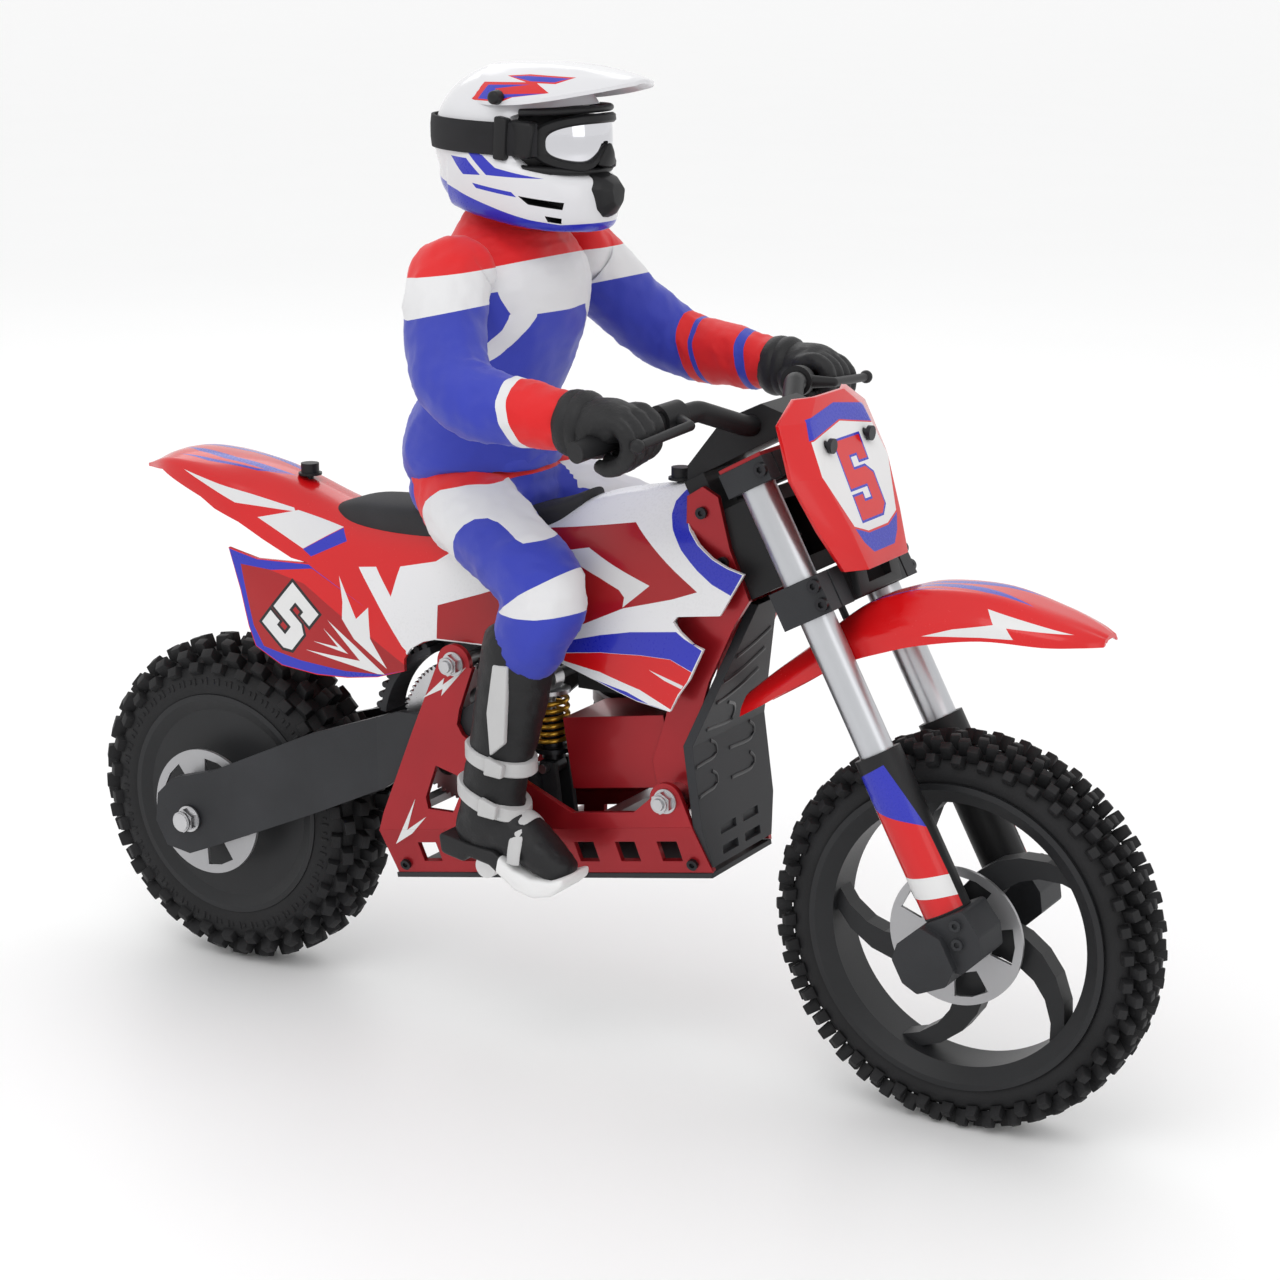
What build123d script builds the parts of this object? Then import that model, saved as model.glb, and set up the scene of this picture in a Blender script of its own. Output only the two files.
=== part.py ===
from build123d import *
import math
import os

# Model dirt bike with a rider figure, radio controlled, about one quarter of full size.
# Millimetres.  +X is forward, +Y is the bike's left, +Z is up.  The origin lies on the ground,
# midway between the ends of the bike.

# ---------------------------------------------------------------- driving dimensions
FRONT_TYRE_R = 80.0
FRONT_TYRE_W = 29.0
FRONT_RIM_R = 63.0
REAR_TYRE_R = 76.5
REAR_TYRE_W = 38.0
REAR_RIM_R = 51.5
WHEELBASE = 362.0
LENGTH = WHEELBASE + FRONT_TYRE_R + REAR_TYRE_R
FRONT_X = LENGTH / 2 - FRONT_TYRE_R
REAR_X = REAR_TYRE_R - LENGTH / 2

RAKE = math.radians(28.2)      # steering axis, leaning back from vertical
STEER_GROUND_X = 218.8         # where the steering axis meets the ground
FORK_OFFSET = 15.0             # fork tubes stand this far in front of the steering axis
FORK_Y = 29.0                  # fork tube centre lines, each side of the middle
TUBE_R = 7.0
LEG_R = 9.5
LEG_LOW = 102.0                # stations along the steering axis, measured from the ground
LEG_TOP = 169.0
TUBE_LOW = 134.0
LOWER_CLAMP = (226.0, 241.5)
UPPER_CLAMP = (281.5, 291.5)
FORK_TRAVEL = 25.0
AXLE_ALONG = 89.2              # front axle, along the steering axis and ahead of it
AXLE_AHEAD = 2.9

PIVOT_X, PIVOT_Z = -50.0, 131.0        # swingarm pivot, shared by the countershaft
PIN_R = 3.0
RUN_CLEARANCE = 0.05                   # radial clearance of a running fit
PLATE_IN = 29.0                        # inner face of the side plates
PLATE_T = 2.5
SKIRT_TILT = math.radians(17)          # the lower skirt leans in toward the skid plate
SKIRT_DEPTH = 21.0
FOLD_REAR, FOLD_FRONT = (-84.5, 85.0), (71.5, 112.5)   # fold line of the skirt, as (x, z)
SKID_TOP, SKID_BOTTOM = 20.9, 23.0     # skid plate faces, square to the fold line and below it
REAR_ROD = (-44.0, 165.3)              # threaded rods through both side plates, as (x, z)
FRONT_ROD = (59.1, 121.8)
ROD_HOLE = 2.55
NECK_SCREWS = ((69.0, 240.0), (79.0, 221.0))
PUCK = (-22.8, 82.0)
TAIL_KNOB, TANK_KNOB = (-140.5, 231.3), (47.8, 248.0)  # where the bodywork is held down

MODULE = 0.8
SPUR_TEETH = 76
PINION_TEETH = 20
MOTOR_ANGLE = math.radians(-60)        # motor lies in front of and below the countershaft
CHAIN_Y = 21.9
REAR_SPROCKET_R = 24.0
FRONT_SPROCKET_R = 10.5

SHOCK_LOW = (-14.0, 118.0)             # lower shock eye on the frame
SHOCK_TOP = (-16.0, 156.0)             # upper shock eye on the swingarm's lever

STEER_ARM = 8.5                        # steering lever and servo lever, centre to pin
SERVO_BACK = 36.0                      # servo shaft, behind the steering axis

SHELL_T = 1.8
BAR_R = 4.2
HAND = (67.0, 82.0, 279.0)
FOOT_Y = 50.0


# ---------------------------------------------------------------- helpers
def polygon(points):
    return make_face(Polyline(*points, close=True))


def side_prism(points, y_low, y_high):
    """Extrude an outline given as (x, z) across the bike from y_low to y_high."""
    plane = Plane(origin=(0, y_high, 0), x_dir=(1, 0, 0), z_dir=(0, -1, 0))
    return extrude(plane * polygon(points), amount=y_high - y_low)


def rod(start, end, radius):
    """A round bar from one point to another."""
    axis = Vector(*end) - Vector(*start)
    return Plane(origin=start, z_dir=axis) * Cylinder(
        radius, axis.length, align=(Align.CENTER, Align.CENTER, Align.MIN))


def cross_rod(x, z, y_low, y_high, radius):
    """A round bar lying across the bike."""
    return rod((x, y_low, z), (x, y_high, z), radius)


def cone_between(start, end, radius_start, radius_end):
    if abs(radius_start - radius_end) < 0.01:
        return rod(start, end, radius_start)
    axis = Vector(*end) - Vector(*start)
    return Plane(origin=start, z_dir=axis) * Cone(
        radius_start, radius_end, axis.length, align=(Align.CENTER, Align.CENTER, Align.MIN))


def limb(points, radii):
    """A soft limb: balls at the points, joined by tapered bars."""
    shape = Pos(*points[0]) * Sphere(radii[0])
    for index in range(1, len(points)):
        shape += cone_between(points[index - 1], points[index], radii[index - 1], radii[index])
        shape += Pos(*points[index]) * Sphere(radii[index])
    return shape


def other_side(shape):
    return mirror(shape, about=Plane.XZ)


def both_sides(shape):
    return Compound(children=[*shape.solids(), *other_side(shape).solids()])


def wheel_plane(x, z):
    """Plane of a wheel seen from the right: its local Z runs along +Y."""
    return Plane(origin=(x, 0, z), x_dir=(1, 0, 0), z_dir=(0, 1, 0))


def ring(x, z, r_in, r_out, y_low, y_high):
    plane = wheel_plane(x, z) * Pos(0, 0, y_low)
    blank = extrude(plane * Circle(r_out), amount=y_high - y_low)
    if r_in <= 0:
        return blank
    return blank - extrude(plane * Circle(r_in), amount=y_high - y_low)


def turned(x, z, outline):
    """Turn an outline of (radius, y) points about a wheel axle."""
    profile = polygon([(r, y) for r, y in outline])
    upright = Plane(origin=(0, 0, 0), x_dir=(1, 0, 0), z_dir=(0, -1, 0)) * profile
    solid = revolve(upright, Axis.Z)
    return wheel_plane(x, z) * solid


def around(x, z, count, radius, start=0.0):
    """Points on a bolt circle about a wheel axle."""
    points = []
    for index in range(count):
        angle = start + 2 * math.pi * index / count
        points.append((x + radius * math.cos(angle), z + radius * math.sin(angle)))
    return points


def button_head(x, z, y_face, outward, radius=2.4, height=1.6):
    """Screw head on a face at y_face, with a hexagon socket; outward is +1 or -1."""
    head = cross_rod(x, z, min(y_face, y_face + outward * height),
                     max(y_face, y_face + outward * height), radius)
    socket = Plane(origin=(x, y_face + outward * height, z), z_dir=(0, -outward, 0))
    return head - extrude(socket * RegularPolygon(radius * 0.5, 6), amount=height * 0.6)


def gear(x, z, teeth, module, y_low, y_high, bore):
    """Spur gear with plain trapezoid teeth; a tooth points straight along +X."""
    pitch_r = teeth * module / 2
    root_r = pitch_r - 1.15 * module
    tip_r = pitch_r + 0.85 * module
    step = 2 * math.pi / teeth
    points = []
    for index in range(teeth):
        middle = index * step
        for share, radius in ((-0.36, root_r), (-0.13, tip_r), (0.13, tip_r), (0.36, root_r)):
            angle = middle + share * step
            points.append((radius * math.cos(angle), radius * math.sin(angle)))
    blank = extrude(wheel_plane(x, z) * Pos(0, 0, y_low) * polygon(points), amount=y_high - y_low)
    return blank - ring(x, z, 0, bore, y_low, y_high)


FORK = Plane(origin=(STEER_GROUND_X, 0, 0), x_dir=(math.cos(RAKE), 0, math.sin(RAKE)),
             z_dir=(-math.sin(RAKE), 0, math.cos(RAKE)))


def fork_point(ahead, y, along):
    """World point from a place given ahead of and along the steering axis."""
    return (STEER_GROUND_X + ahead * math.cos(RAKE) - along * math.sin(RAKE), y,
            ahead * math.sin(RAKE) + along * math.cos(RAKE))


def fork_rod(ahead, y, low, high, radius):
    return rod(fork_point(ahead, y, low), fork_point(ahead, y, high), radius)


def fork_slab(outline, low, high):
    """Extrude a plan outline of (ahead, y) points along the steering axis."""
    return extrude(FORK * Pos(0, 0, low) * polygon(outline), amount=high - low)


def fork_side(outline, y_low, y_high):
    """Extrude a side outline given as (ahead, along) across the bike."""
    return side_prism([(fork_point(a, 0, s)[0], fork_point(a, 0, s)[2]) for a, s in outline],
                      y_low, y_high)


def spring(start, end, mean_r, wire_r, turns):
    axis = Vector(*end) - Vector(*start)
    path = Helix(pitch=(axis.length - 2 * wire_r) / turns, height=axis.length - 2 * wire_r,
                 radius=mean_r)
    section = Plane(origin=path @ 0, z_dir=path % 0) * Circle(wire_r)
    coil = sweep(section, path=path, is_frenet=True)
    return Plane(origin=start, z_dir=axis) * Pos(0, 0, wire_r) * coil


# ---------------------------------------------------------------- frame
def fold_slope():
    return math.atan2(FOLD_FRONT[1] - FOLD_REAR[1], FOLD_FRONT[0] - FOLD_REAR[0])


def floor_point(along, depth):
    """Place (x, z) measured along the skirt's fold line and square below it."""
    slope = fold_slope()
    return (FOLD_REAR[0] + along * math.cos(slope) + depth * math.sin(slope),
            FOLD_REAR[1] + along * math.sin(slope) - depth * math.cos(slope))


def floor_under(x):
    """Height of the skid plate's upper face at x."""
    start_x, start_z = floor_point(0, SKID_TOP)
    return start_z + (x - start_x) * math.tan(fold_slope())


def skirt_plane():
    slope = fold_slope()
    outward = Vector(0, -math.cos(SKIRT_TILT), 0) + Vector(
        math.sin(slope), 0, -math.cos(slope)) * math.sin(SKIRT_TILT)
    return Plane(origin=(FOLD_REAR[0], -PLATE_IN, FOLD_REAR[1]),
                 x_dir=(math.cos(slope), 0, math.sin(slope)), z_dir=outward)


def frame_plate():
    """Right side plate: rear arm, front lug, and a skirt folded in along its lower edge."""
    upper = [FOLD_REAR, (-82.0, 93.5), (-65.5, 133.5), (-51.5, 166.0), (-34.5, 164.5),
             (-41.5, 145.4), (-42.7, 138.9), (-40.0, 134.6), (-33.7, 130.9), (-7.5, 118.6),
             (9.5, 111.5), (15.0, 109.5), (44.0, 114.5), (52.0, 121.8), (66.0, 124.5),
             FOLD_FRONT]
    plate = side_prism(upper, -PLATE_IN - PLATE_T, -PLATE_IN)
    plate += cross_rod(*REAR_ROD, -PLATE_IN - PLATE_T, -PLATE_IN, 8.2)
    plate += cross_rod(*FRONT_ROD, -PLATE_IN - PLATE_T, -PLATE_IN, 7.4)
    window = [(-54.0, 119.0), (-59.5, 104.0), (-58.3, 99.0), (-45.4, 99.5), (-38.5, 115.2)]
    plate -= side_prism(window, -PLATE_IN - PLATE_T, -PLATE_IN)
    for x, z in (REAR_ROD, FRONT_ROD):
        plate -= cross_rod(x, z, -40, -20, ROD_HOLE)
    plate -= cross_rod(PIVOT_X, PIVOT_Z, -PLATE_IN - 1.0, -20, PIN_R + RUN_CLEARANCE)
    run = math.dist(FOLD_REAR, FOLD_FRONT)
    skirt = polygon([(0, 0.9), (run, 0.9), (run + 3.0, -SKIRT_DEPTH), (2.0, -SKIRT_DEPTH)])
    holes = Sketch()
    for index in range(7):
        holes += Pos(23.0 + index * 20.2, -10.5) * Rectangle(9.6, 9.6)
    plate += extrude(skirt_plane() * (skirt - holes), amount=PLATE_T)
    puck_seat = cross_rod(*PUCK, -45.0, -20.0, 5.0)
    return plate - puck_seat


def neck_plate():
    """Right inner plate that joins the lower frame to the steering head."""
    outline = [(62.0, 246.0), (69.0, 250.5), (76.0, 247.0), (81.5, 226.5), (90.5, 206.5),
               (84.0, 196.0), (72.5, 171.0), (65.5, 146.0), (66.0, 121.0), (62.5, 115.2),
               (54.5, 115.2), (49.5, 120.0), (46.0, 134.0), (52.0, 152.0), (60.0, 182.0), (56.0, 205.0), (61.7, 226.0)]
    plate = side_prism(outline, -20.0, -17.6)
    for x, z in NECK_SCREWS:
        plate -= cross_rod(x, z, -21, -17, 1.3)
    return plate - cross_rod(*FRONT_ROD, -21, -17, ROD_HOLE)


def side_lug_spacers():
    """Round spacers that carry the neck plates out to the front lugs of the side plates."""
    spacer = ring(*FRONT_ROD, ROD_HOLE, 5.0, -PLATE_IN, -20.0)
    return both_sides(spacer)


def frame_rods():
    """Two threaded rods that clamp the side plates, at the rear arm and the front lug."""
    rear = cross_rod(*REAR_ROD, -38.5, 38.5, 2.5)
    front = cross_rod(*FRONT_ROD, -38.5, 38.5, 2.5)
    return Compound(children=[*rear.solids(), *front.solids()])


def frame_nuts():
    """Locking nuts with washers on the ends of the frame rods."""
    pieces = []
    for x, z in (REAR_ROD, FRONT_ROD):
        face = -PLATE_IN - PLATE_T
        plane = Plane(origin=(x, face, z), z_dir=(0, -1, 0))
        nut = extrude(plane * Circle(5.2), amount=0.8)
        nut += extrude(plane * Pos(0, 0, 0.8) * RegularPolygon(4.6, 6), amount=3.6)
        nut += extrude(plane * Pos(0, 0, 4.4) * Circle(3.6), amount=1.4)
        nut -= cross_rod(x, z, -45, -20, ROD_HOLE)
        pieces += both_sides(nut).solids()
    return Compound(children=pieces)


def frame_screws():
    """Button head screws: at the skirt's corners and on the neck plates' ears."""
    pieces = []
    for x, z in NECK_SCREWS:
        screw = button_head(x, z, -20.0, -1, 2.4, 1.6) + cross_rod(x, z, -20.0, -14.5, 1.25)
        pieces += both_sides(screw).solids()
    standing = (Align.CENTER, Align.CENTER, Align.MIN)
    for along in (8.0, math.dist(FOLD_REAR, FOLD_FRONT) - 5.0):
        screw = Cylinder(2.4, 1.6, align=standing) - Pos(0, 0, 0.6) * Cylinder(
            1.2, 1.0, align=standing)
        place = skirt_plane() * Pos(along, -SKIRT_DEPTH + 4.5, PLATE_T)
        pieces += both_sides(place * screw).solids()
    return Compound(children=pieces)


def guard_plate():
    """Front bash guard: a narrow neck above, a wide shield below, folded where it is widest."""
    fold = (66.8, 146.0)
    profile = [(84.5, 204.0), fold, (74.5, 91.0), (78.5, 91.6), (71.0, 146.0), (88.5, 203.0)]
    guard = side_prism(profile, -31.0, 31.0)
    front = [(-8.0, 202.5), (8.0, 202.5), (30.6, 146.0), (30.6, 112.0), (25.0, 94.8),
             (-25.0, 94.8), (-30.6, 112.0), (-30.6, 146.0)]
    face = Plane(origin=(50, 0, 0), x_dir=(0, 1, 0), z_dir=(1, 0, 0)) * polygon(front)
    guard = guard & extrude(face, amount=60)
    for y in (-9.5, 9.5):
        for z in (99.5, 108.0):
            guard -= Pos(80.0, y, z) * Box(9.5, 13.0, 3.6)
    return guard


def skid_plate():
    """Flat tray that closes the frame below, between the lower edges of both skirts."""
    run = math.dist(FOLD_REAR, FOLD_FRONT)
    outline = [floor_point(1.0, SKID_TOP), floor_point(1.0, SKID_BOTTOM),
               floor_point(run + 2.5, SKID_BOTTOM), floor_point(run + 2.5, SKID_TOP)]
    return side_prism(outline, -25.5, 25.5)


def side_pucks():
    """Round plastic feet that stand out of the skirt below the rider's boots."""
    return both_sides(cross_rod(*PUCK, -41.0, -26.8, 5.0))


def crossbars():
    """Hexagon standoffs between the side plates."""
    pieces = []
    for x, z in ((28.0, 108.0), (-72.0, 95.0)):
        plane = Plane(origin=(x, -PLATE_IN, z), z_dir=(0, 1, 0))
        pieces += extrude(plane * RegularPolygon(3.4, 6), amount=2 * PLATE_IN).solids()
    return Compound(children=pieces)


# ---------------------------------------------------------------- steering head and handlebar
def head_housing():
    """Hollow block around the steering stem, with a riser behind the upper clamp."""
    body = fork_side([(-22, 243.0), (11, 243.0), (11, 279.8), (-12, 279.8), (-12, 296.5),
                      (-22, 296.5)], -17.6, 17.6)
    body -= fork_side([(-23, 249.5), (12, 249.5), (12, 274.0), (-23, 274.0)], -13.0, 13.0)
    body -= fork_rod(0, 0, 240, 283, 6.0)
    for x, z in NECK_SCREWS:
        body -= cross_rod(x, z, -18.0, -14.4, 1.3)
        body -= cross_rod(x, z, 14.4, 18.0, 1.3)
    return body


def head_bearings():
    low = fork_rod(0, 0, 243.0, 247.0, 5.99) - fork_rod(0, 0, 243.0, 247.0, 4.05)
    high = fork_rod(0, 0, 275.5, 279.5, 5.99) - fork_rod(0, 0, 275.5, 279.5, 4.05)
    return Compound(children=[*low.solids(), *high.solids()])


def bar_mount():
    """Tall block above the upper clamp that holds the handlebar."""
    body = fork_side([(-22, 296.5), (27, 296.5), (31, 303.0), (23, 311.0), (4, 312.0),
                      (-19, 302.0)], -15.0, 15.0)
    return body - rod((88.0, -20, 276.0), (88.0, 20, 276.0), BAR_R)


def handlebar():
    """One bent tube: straight in the mount, up and back, then out to the grips."""
    half = [(88.0, 0, 276.0), (88.0, 18.0, 276.0), (78.0, 40.0, 284.5), (70.0, 62.0, 281.5),
            (61.0, 102.0, 276.5)]
    left = [(x, y, z) for x, y, z in half[1:]]
    right = [(x, -y, z) for x, y, z in reversed(half[1:])]
    path = FilletPolyline(*right, *left, radius=9.0)
    return sweep(Plane(origin=path @ 0, z_dir=path % 0) * Circle(BAR_R), path=path)


def brake_levers(bar):
    """A lever with a ball end in front of each grip, on a clamp round the bar."""
    perch = rod((74.6, 48.0, 283.6), (71.3, 58.0, 282.3), 6.4)
    blade = limb([(76.0, 53.0, 283.0), (86.0, 60.0, 282.5), (84.0, 92.0, 280.0)],
                 [3.0, 2.0, 1.8])
    ball = Pos(83.7, 95.0, 279.8) * Sphere(2.8)
    return both_sides((perch + blade + ball) - bar)


# ---------------------------------------------------------------- drive and electrics
def pivot_pin():
    return cross_rod(PIVOT_X, PIVOT_Z, -29.8, 29.8, PIN_R)


def motor_centre():
    distance = (SPUR_TEETH + PINION_TEETH) * MODULE / 2
    return (PIVOT_X + distance * math.cos(MOTOR_ANGLE),
            PIVOT_Z + distance * math.sin(MOTOR_ANGLE))


def drive_motor():
    x, z = motor_centre()
    can = ring(x, z, 1.55, 13.5, -7.0, 19.0)
    for point_x, point_z in around(x, z, 10, 13.6):
        can -= cross_rod(point_x, point_z, -1.0, 15.0, 1.1)
    return can


def motor_mount():
    """Plate between motor and gears, standing on the skid plate."""
    x, z = motor_centre()
    outline = [(-66, 118), (-66, 140), (-56, 147), (-40, 145), (-16, 113),
               (-13, floor_under(-13)), (-48, floor_under(-48)), (-58, 100)]
    plate = side_prism(outline, -10.0, -7.5)
    plate -= cross_rod(PIVOT_X, PIVOT_Z, -11, -7, 6.0)
    plate -= cross_rod(x, z, -11, -7, 4.0)
    return plate


def motor_pinion():
    x, z = motor_centre()
    pinion = gear(x, z, PINION_TEETH, MODULE, -16.0, -12.0, 1.0)
    turn = math.degrees(MOTOR_ANGLE) + 180.0
    half_tooth = 180.0 / PINION_TEETH
    centred = Rotation(0, -turn + half_tooth, 0) * (Pos(-x, 0, -z) * pinion)
    return Pos(x, 0, z) * centred + ring(x, z, 0, 1.5, -16.0, 17.0)


def spur_gear():
    wheel = gear(PIVOT_X, PIVOT_Z, SPUR_TEETH, MODULE, -16.0, -12.0, 5.01)
    centred = Rotation(0, -math.degrees(MOTOR_ANGLE), 0) * (Pos(-PIVOT_X, 0, -PIVOT_Z) * wheel)
    wheel = Pos(PIVOT_X, 0, PIVOT_Z) * centred
    for x, z in around(PIVOT_X, PIVOT_Z, 6, 18.0):
        wheel -= cross_rod(x, z, -17, -11, 5.5)
    return wheel


def sprocket(x, z, radius, bore, teeth):
    """Flat chain wheel with short teeth, thin enough to run between the chain plates."""
    points = []
    step = 2 * math.pi / teeth
    for index in range(teeth):
        for share, r in ((-0.42, radius - 1.4), (-0.1, radius + 0.9), (0.1, radius + 0.9),
                         (0.42, radius - 1.4)):
            angle = (index + share) * step
            points.append((r * math.cos(angle), r * math.sin(angle)))
    plane = wheel_plane(x, z) * Pos(0, 0, CHAIN_Y - 0.5)
    return extrude(plane * polygon(points), amount=1.0) - ring(x, z, 0, bore, 20, 24)


def countershaft():
    """Hollow shaft on the swingarm pin, with the small chain wheel at its left end."""
    shaft = ring(PIVOT_X, PIVOT_Z, PIN_R + RUN_CLEARANCE, 5.0, -17.0, 23.5)
    return shaft + sprocket(PIVOT_X, PIVOT_Z, FRONT_SPROCKET_R, 4.9, 11)


def gear_cover():
    """Ribbed dust cover curving over the rear of the spur gear."""
    start, end = math.radians(108), math.radians(172)
    outer, inner = 39.0, 36.0
    count = 14
    points = []
    for index in range(count + 1):
        angle = start + (end - start) * index / count
        points.append((PIVOT_X + outer * math.cos(angle), PIVOT_Z + outer * math.sin(angle)))
    for index in range(count, -1, -1):
        angle = start + (end - start) * index / count
        points.append((PIVOT_X + inner * math.cos(angle), PIVOT_Z + inner * math.sin(angle)))
    cover = side_prism(points, -23.0, -9.0)
    for index in range(9):
        angle = start + (end - start) * (index + 0.5) / 9
        x = PIVOT_X + (outer + 0.9) * math.cos(angle)
        z = PIVOT_Z + (outer + 0.9) * math.sin(angle)
        cover += cross_rod(x, z, -23.0, -9.0, 1.5)
    arm = side_prism([(-50, 171), (-62, 168.2), (-62, 164.5), (-41, 160), (-41, 171)], -12.0, -9.0)
    return cover + arm - cross_rod(*REAR_ROD, -13, -8, ROD_HOLE)


def battery():
    return side_prism([(6, 117.5), (52, 125.0), (47.5, 150.0), (1.5, 142.5)], -15.0, 15.0)


def battery_bracket():
    """Folded red box that holds the battery, open at the rear."""
    box = side_prism([(6.5, 114.9), (54.9, 123.0), (49.8, 153.2), (1.4, 145.0)], -17.5, 17.5)
    box -= side_prism([(0, 116.4), (52.6, 125.0), (47.9, 151.0), (-5, 142.5)], -15.2, 15.2)
    return box


def speed_controller():
    body = Pos(22, 0, 163.0) * Box(34, 22, 12)
    for index in range(6):
        body -= Pos(9.5 + index * 5, 0, 169.0) * Box(2.4, 24, 5)
    return body


def receiver():
    return Pos(-30, 4, 196) * Box(26, 18, 10)


def steering_servo():
    """Servo behind the head, its shaft parallel to the steering axis and pointing down."""
    body = fork_side([(-46, 266), (-26, 266), (-26, 288), (-46, 288)], -6.5, 6.5)
    ears = fork_side([(-50.5, 270), (-22.5, 270), (-22.5, 272), (-50.5, 272)], -6.5, 6.5)
    return body + ears + fork_rod(-SERVO_BACK, 0, 264.5, 266, 5.0)


def servo_horn():
    horn = fork_rod(-SERVO_BACK, 0, 258.5, 263.5, 4.0)
    horn += fork_slab([(-SERVO_BACK - 2.6, 0), (-SERVO_BACK + 2.6, 0),
                       (-SERVO_BACK + 2.2, STEER_ARM), (-SERVO_BACK - 2.2, STEER_ARM)],
                      258.5, 260.5)
    horn += fork_rod(-SERVO_BACK, STEER_ARM, 258.5, 260.5, 2.2)
    return horn + fork_rod(-SERVO_BACK, STEER_ARM, 254.5, 258.5, 1.0)


def drag_link():
    """Flat link from the servo lever to the stem's lever."""
    link = fork_slab([(-SERVO_BACK, STEER_ARM - 1.6), (0, STEER_ARM - 1.6),
                      (0, STEER_ARM + 1.6), (-SERVO_BACK, STEER_ARM + 1.6)], 255.5, 257.5)
    for ahead in (-SERVO_BACK, 0):
        link += fork_rod(ahead, STEER_ARM, 255.5, 257.5, 2.4)
    for ahead in (-SERVO_BACK, 0):
        link -= fork_rod(ahead, STEER_ARM, 255, 258, 1.0 + RUN_CLEARANCE)
    return link


# ---------------------------------------------------------------- body, seat
def shell_block(inset):
    """Loft of the bodywork's outer form, or of its hollow when inset is the wall."""
    stations = [
        (-226, 230.0, 6, 229.0, 8, 227.5, 8, 224),
        (-205, 238.0, 15, 236.0, 20, 231.0, 21, 222),
        (-176, 237.0, 14, 235.0, 24, 227.0, 27, 150),
        (-150, 232.5, 13, 230.0, 25, 213.0, 31, 150),
        (-118, 223.0, 13, 220.0, 26, 202.0, 31.5, 150),
        (-90, 219.0, 14, 216.5, 25, 200.0, 30, 150),
        (-50, 221.0, 14, 218.5, 24, 202.0, 26.5, 150),
        (-10, 228.0, 13, 225.0, 24, 207.0, 27, 150),
        (12, 239.0, 12, 235.0, 26, 212.0, 30, 150),
        (38, 245.5, 11, 241.0, 28, 217.0, 32, 150),
        (92, 254.0, 10, 250.0, 25, 224.0, 29, 150),
    ]
    sections = []
    for x, ridge, y_top, z_top, y_side, z_side, y_low, z_low in stations:
        drop = inset
        a, b, c = y_top - 0.5 * inset, y_side - inset, y_low - inset
        low = z_low - (5 if inset else 0)
        points = [(-c, low), (-b, z_side), (-a, z_top - drop), (0, ridge - drop),
                  (a, z_top - drop), (b, z_side), (c, low)]
        plane = Plane(origin=(x, 0, 0), x_dir=(0, 1, 0), z_dir=(1, 0, 0))
        sections.append(plane * polygon(points))
    return loft(sections, ruled=True)


def shell_outline():
    """Side view of the bodywork: tail, number panel, knee cut-out, radiator shroud."""
    return [(-230, 262), (-230, 226), (-226, 226), (-209, 230), (-183, 221), (-175, 216.7),
            (-161, 212.3), (-147.5, 206.2), (-131.4, 199.8), (-122, 198.6), (-149.8, 197.6),
            (-166.4, 200.6), (-158.8, 182.6), (-154, 167.3), (-149.9, 158.8), (-135.2, 152.2),
            (-116, 150.5), (-100, 151.1), (-85, 153.2), (-71.8, 157.3), (-72, 162.5), (-69, 167.4),
            (-62.6, 171.3), (-57, 172.8), (-10, 174), (7.5, 172.1), (26.7, 167.5), (45.7, 161.8),
            (60.6, 159.4), (64.3, 166.6), (69, 173.5), (74.8, 186.6), (70.2, 188.1),
            (64.2, 192.6), (61, 196.3), (62.8, 198.6), (81.5, 201), (86.3, 209.7), (91.6, 219.2),
            (91.6, 262)]


def body_shell():
    """Thin painted bodywork from the tail to the radiator shrouds, open below."""
    shell = shell_block(0) & side_prism(shell_outline(), -40, 40)
    shell -= shell_block(SHELL_T)
    shell -= cross_rod(80.5, 235.0, -45, 45, 21.0)
    shell -= Pos(84, 0, 240) * Box(24, 37, 60) + Pos(80, 0, 255) * Box(46, 42, 30)
    for x, z in (TAIL_KNOB, TANK_KNOB):
        shell -= rod((x, 0, z - 20), (x, 0, z + 20), 1.6)
    return shell


def seat(block):
    """Padded saddle on the ridge of the bodywork."""
    sections = []
    stations = [(-122, 219.5, 12, 213), (-108, 225.5, 16, 205), (-70, 226.0, 17, 204),
                (-20, 230.5, 15, 212), (6, 239.5, 12, 226)]
    for x, ridge, half, low in stations:
        plane = Plane(origin=(x, 0, 0), x_dir=(0, 1, 0), z_dir=(1, 0, 0))
        points = [(-half, low), (-half * 0.9, ridge - 5.0), (-half * 0.5, ridge - 1.0),
                  (half * 0.5, ridge - 1.0), (half * 0.9, ridge - 5.0), (half, low)]
        sections.append(plane * polygon(points))
    return loft(sections, ruled=True) - block


def knob(x, z):
    """Thumb knob with a stud that reaches down through the bodywork into its post."""
    return rod((x, 0, z), (x, 0, z + 1.0), 5.2) + rod((x, 0, z + 1.0), (x, 0, z + 5.2), 4.0) + rod(
        (x, 0, z - 8.0), (x, 0, z), 1.5)


def tail_post():
    """Stay that rises from the rear rod to the tail, with a post under the knob."""
    x = TAIL_KNOB[0]
    post = rod((x, 0, 204.0), (x, 0, 226.6), 3.0)
    post += side_prism([(x - 3.5, 199), (x - 3.5, 206), (x + 3.5, 206), (-46, 170), (-42, 160),
                        (-52, 164), (x + 3.5, 198)], -4.0, 4.0)
    post += cross_rod(*REAR_ROD, -8.8, 28.9, 5.0)
    return post - cross_rod(*REAR_ROD, -40, 40, ROD_HOLE) + knob(*TAIL_KNOB)


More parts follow.
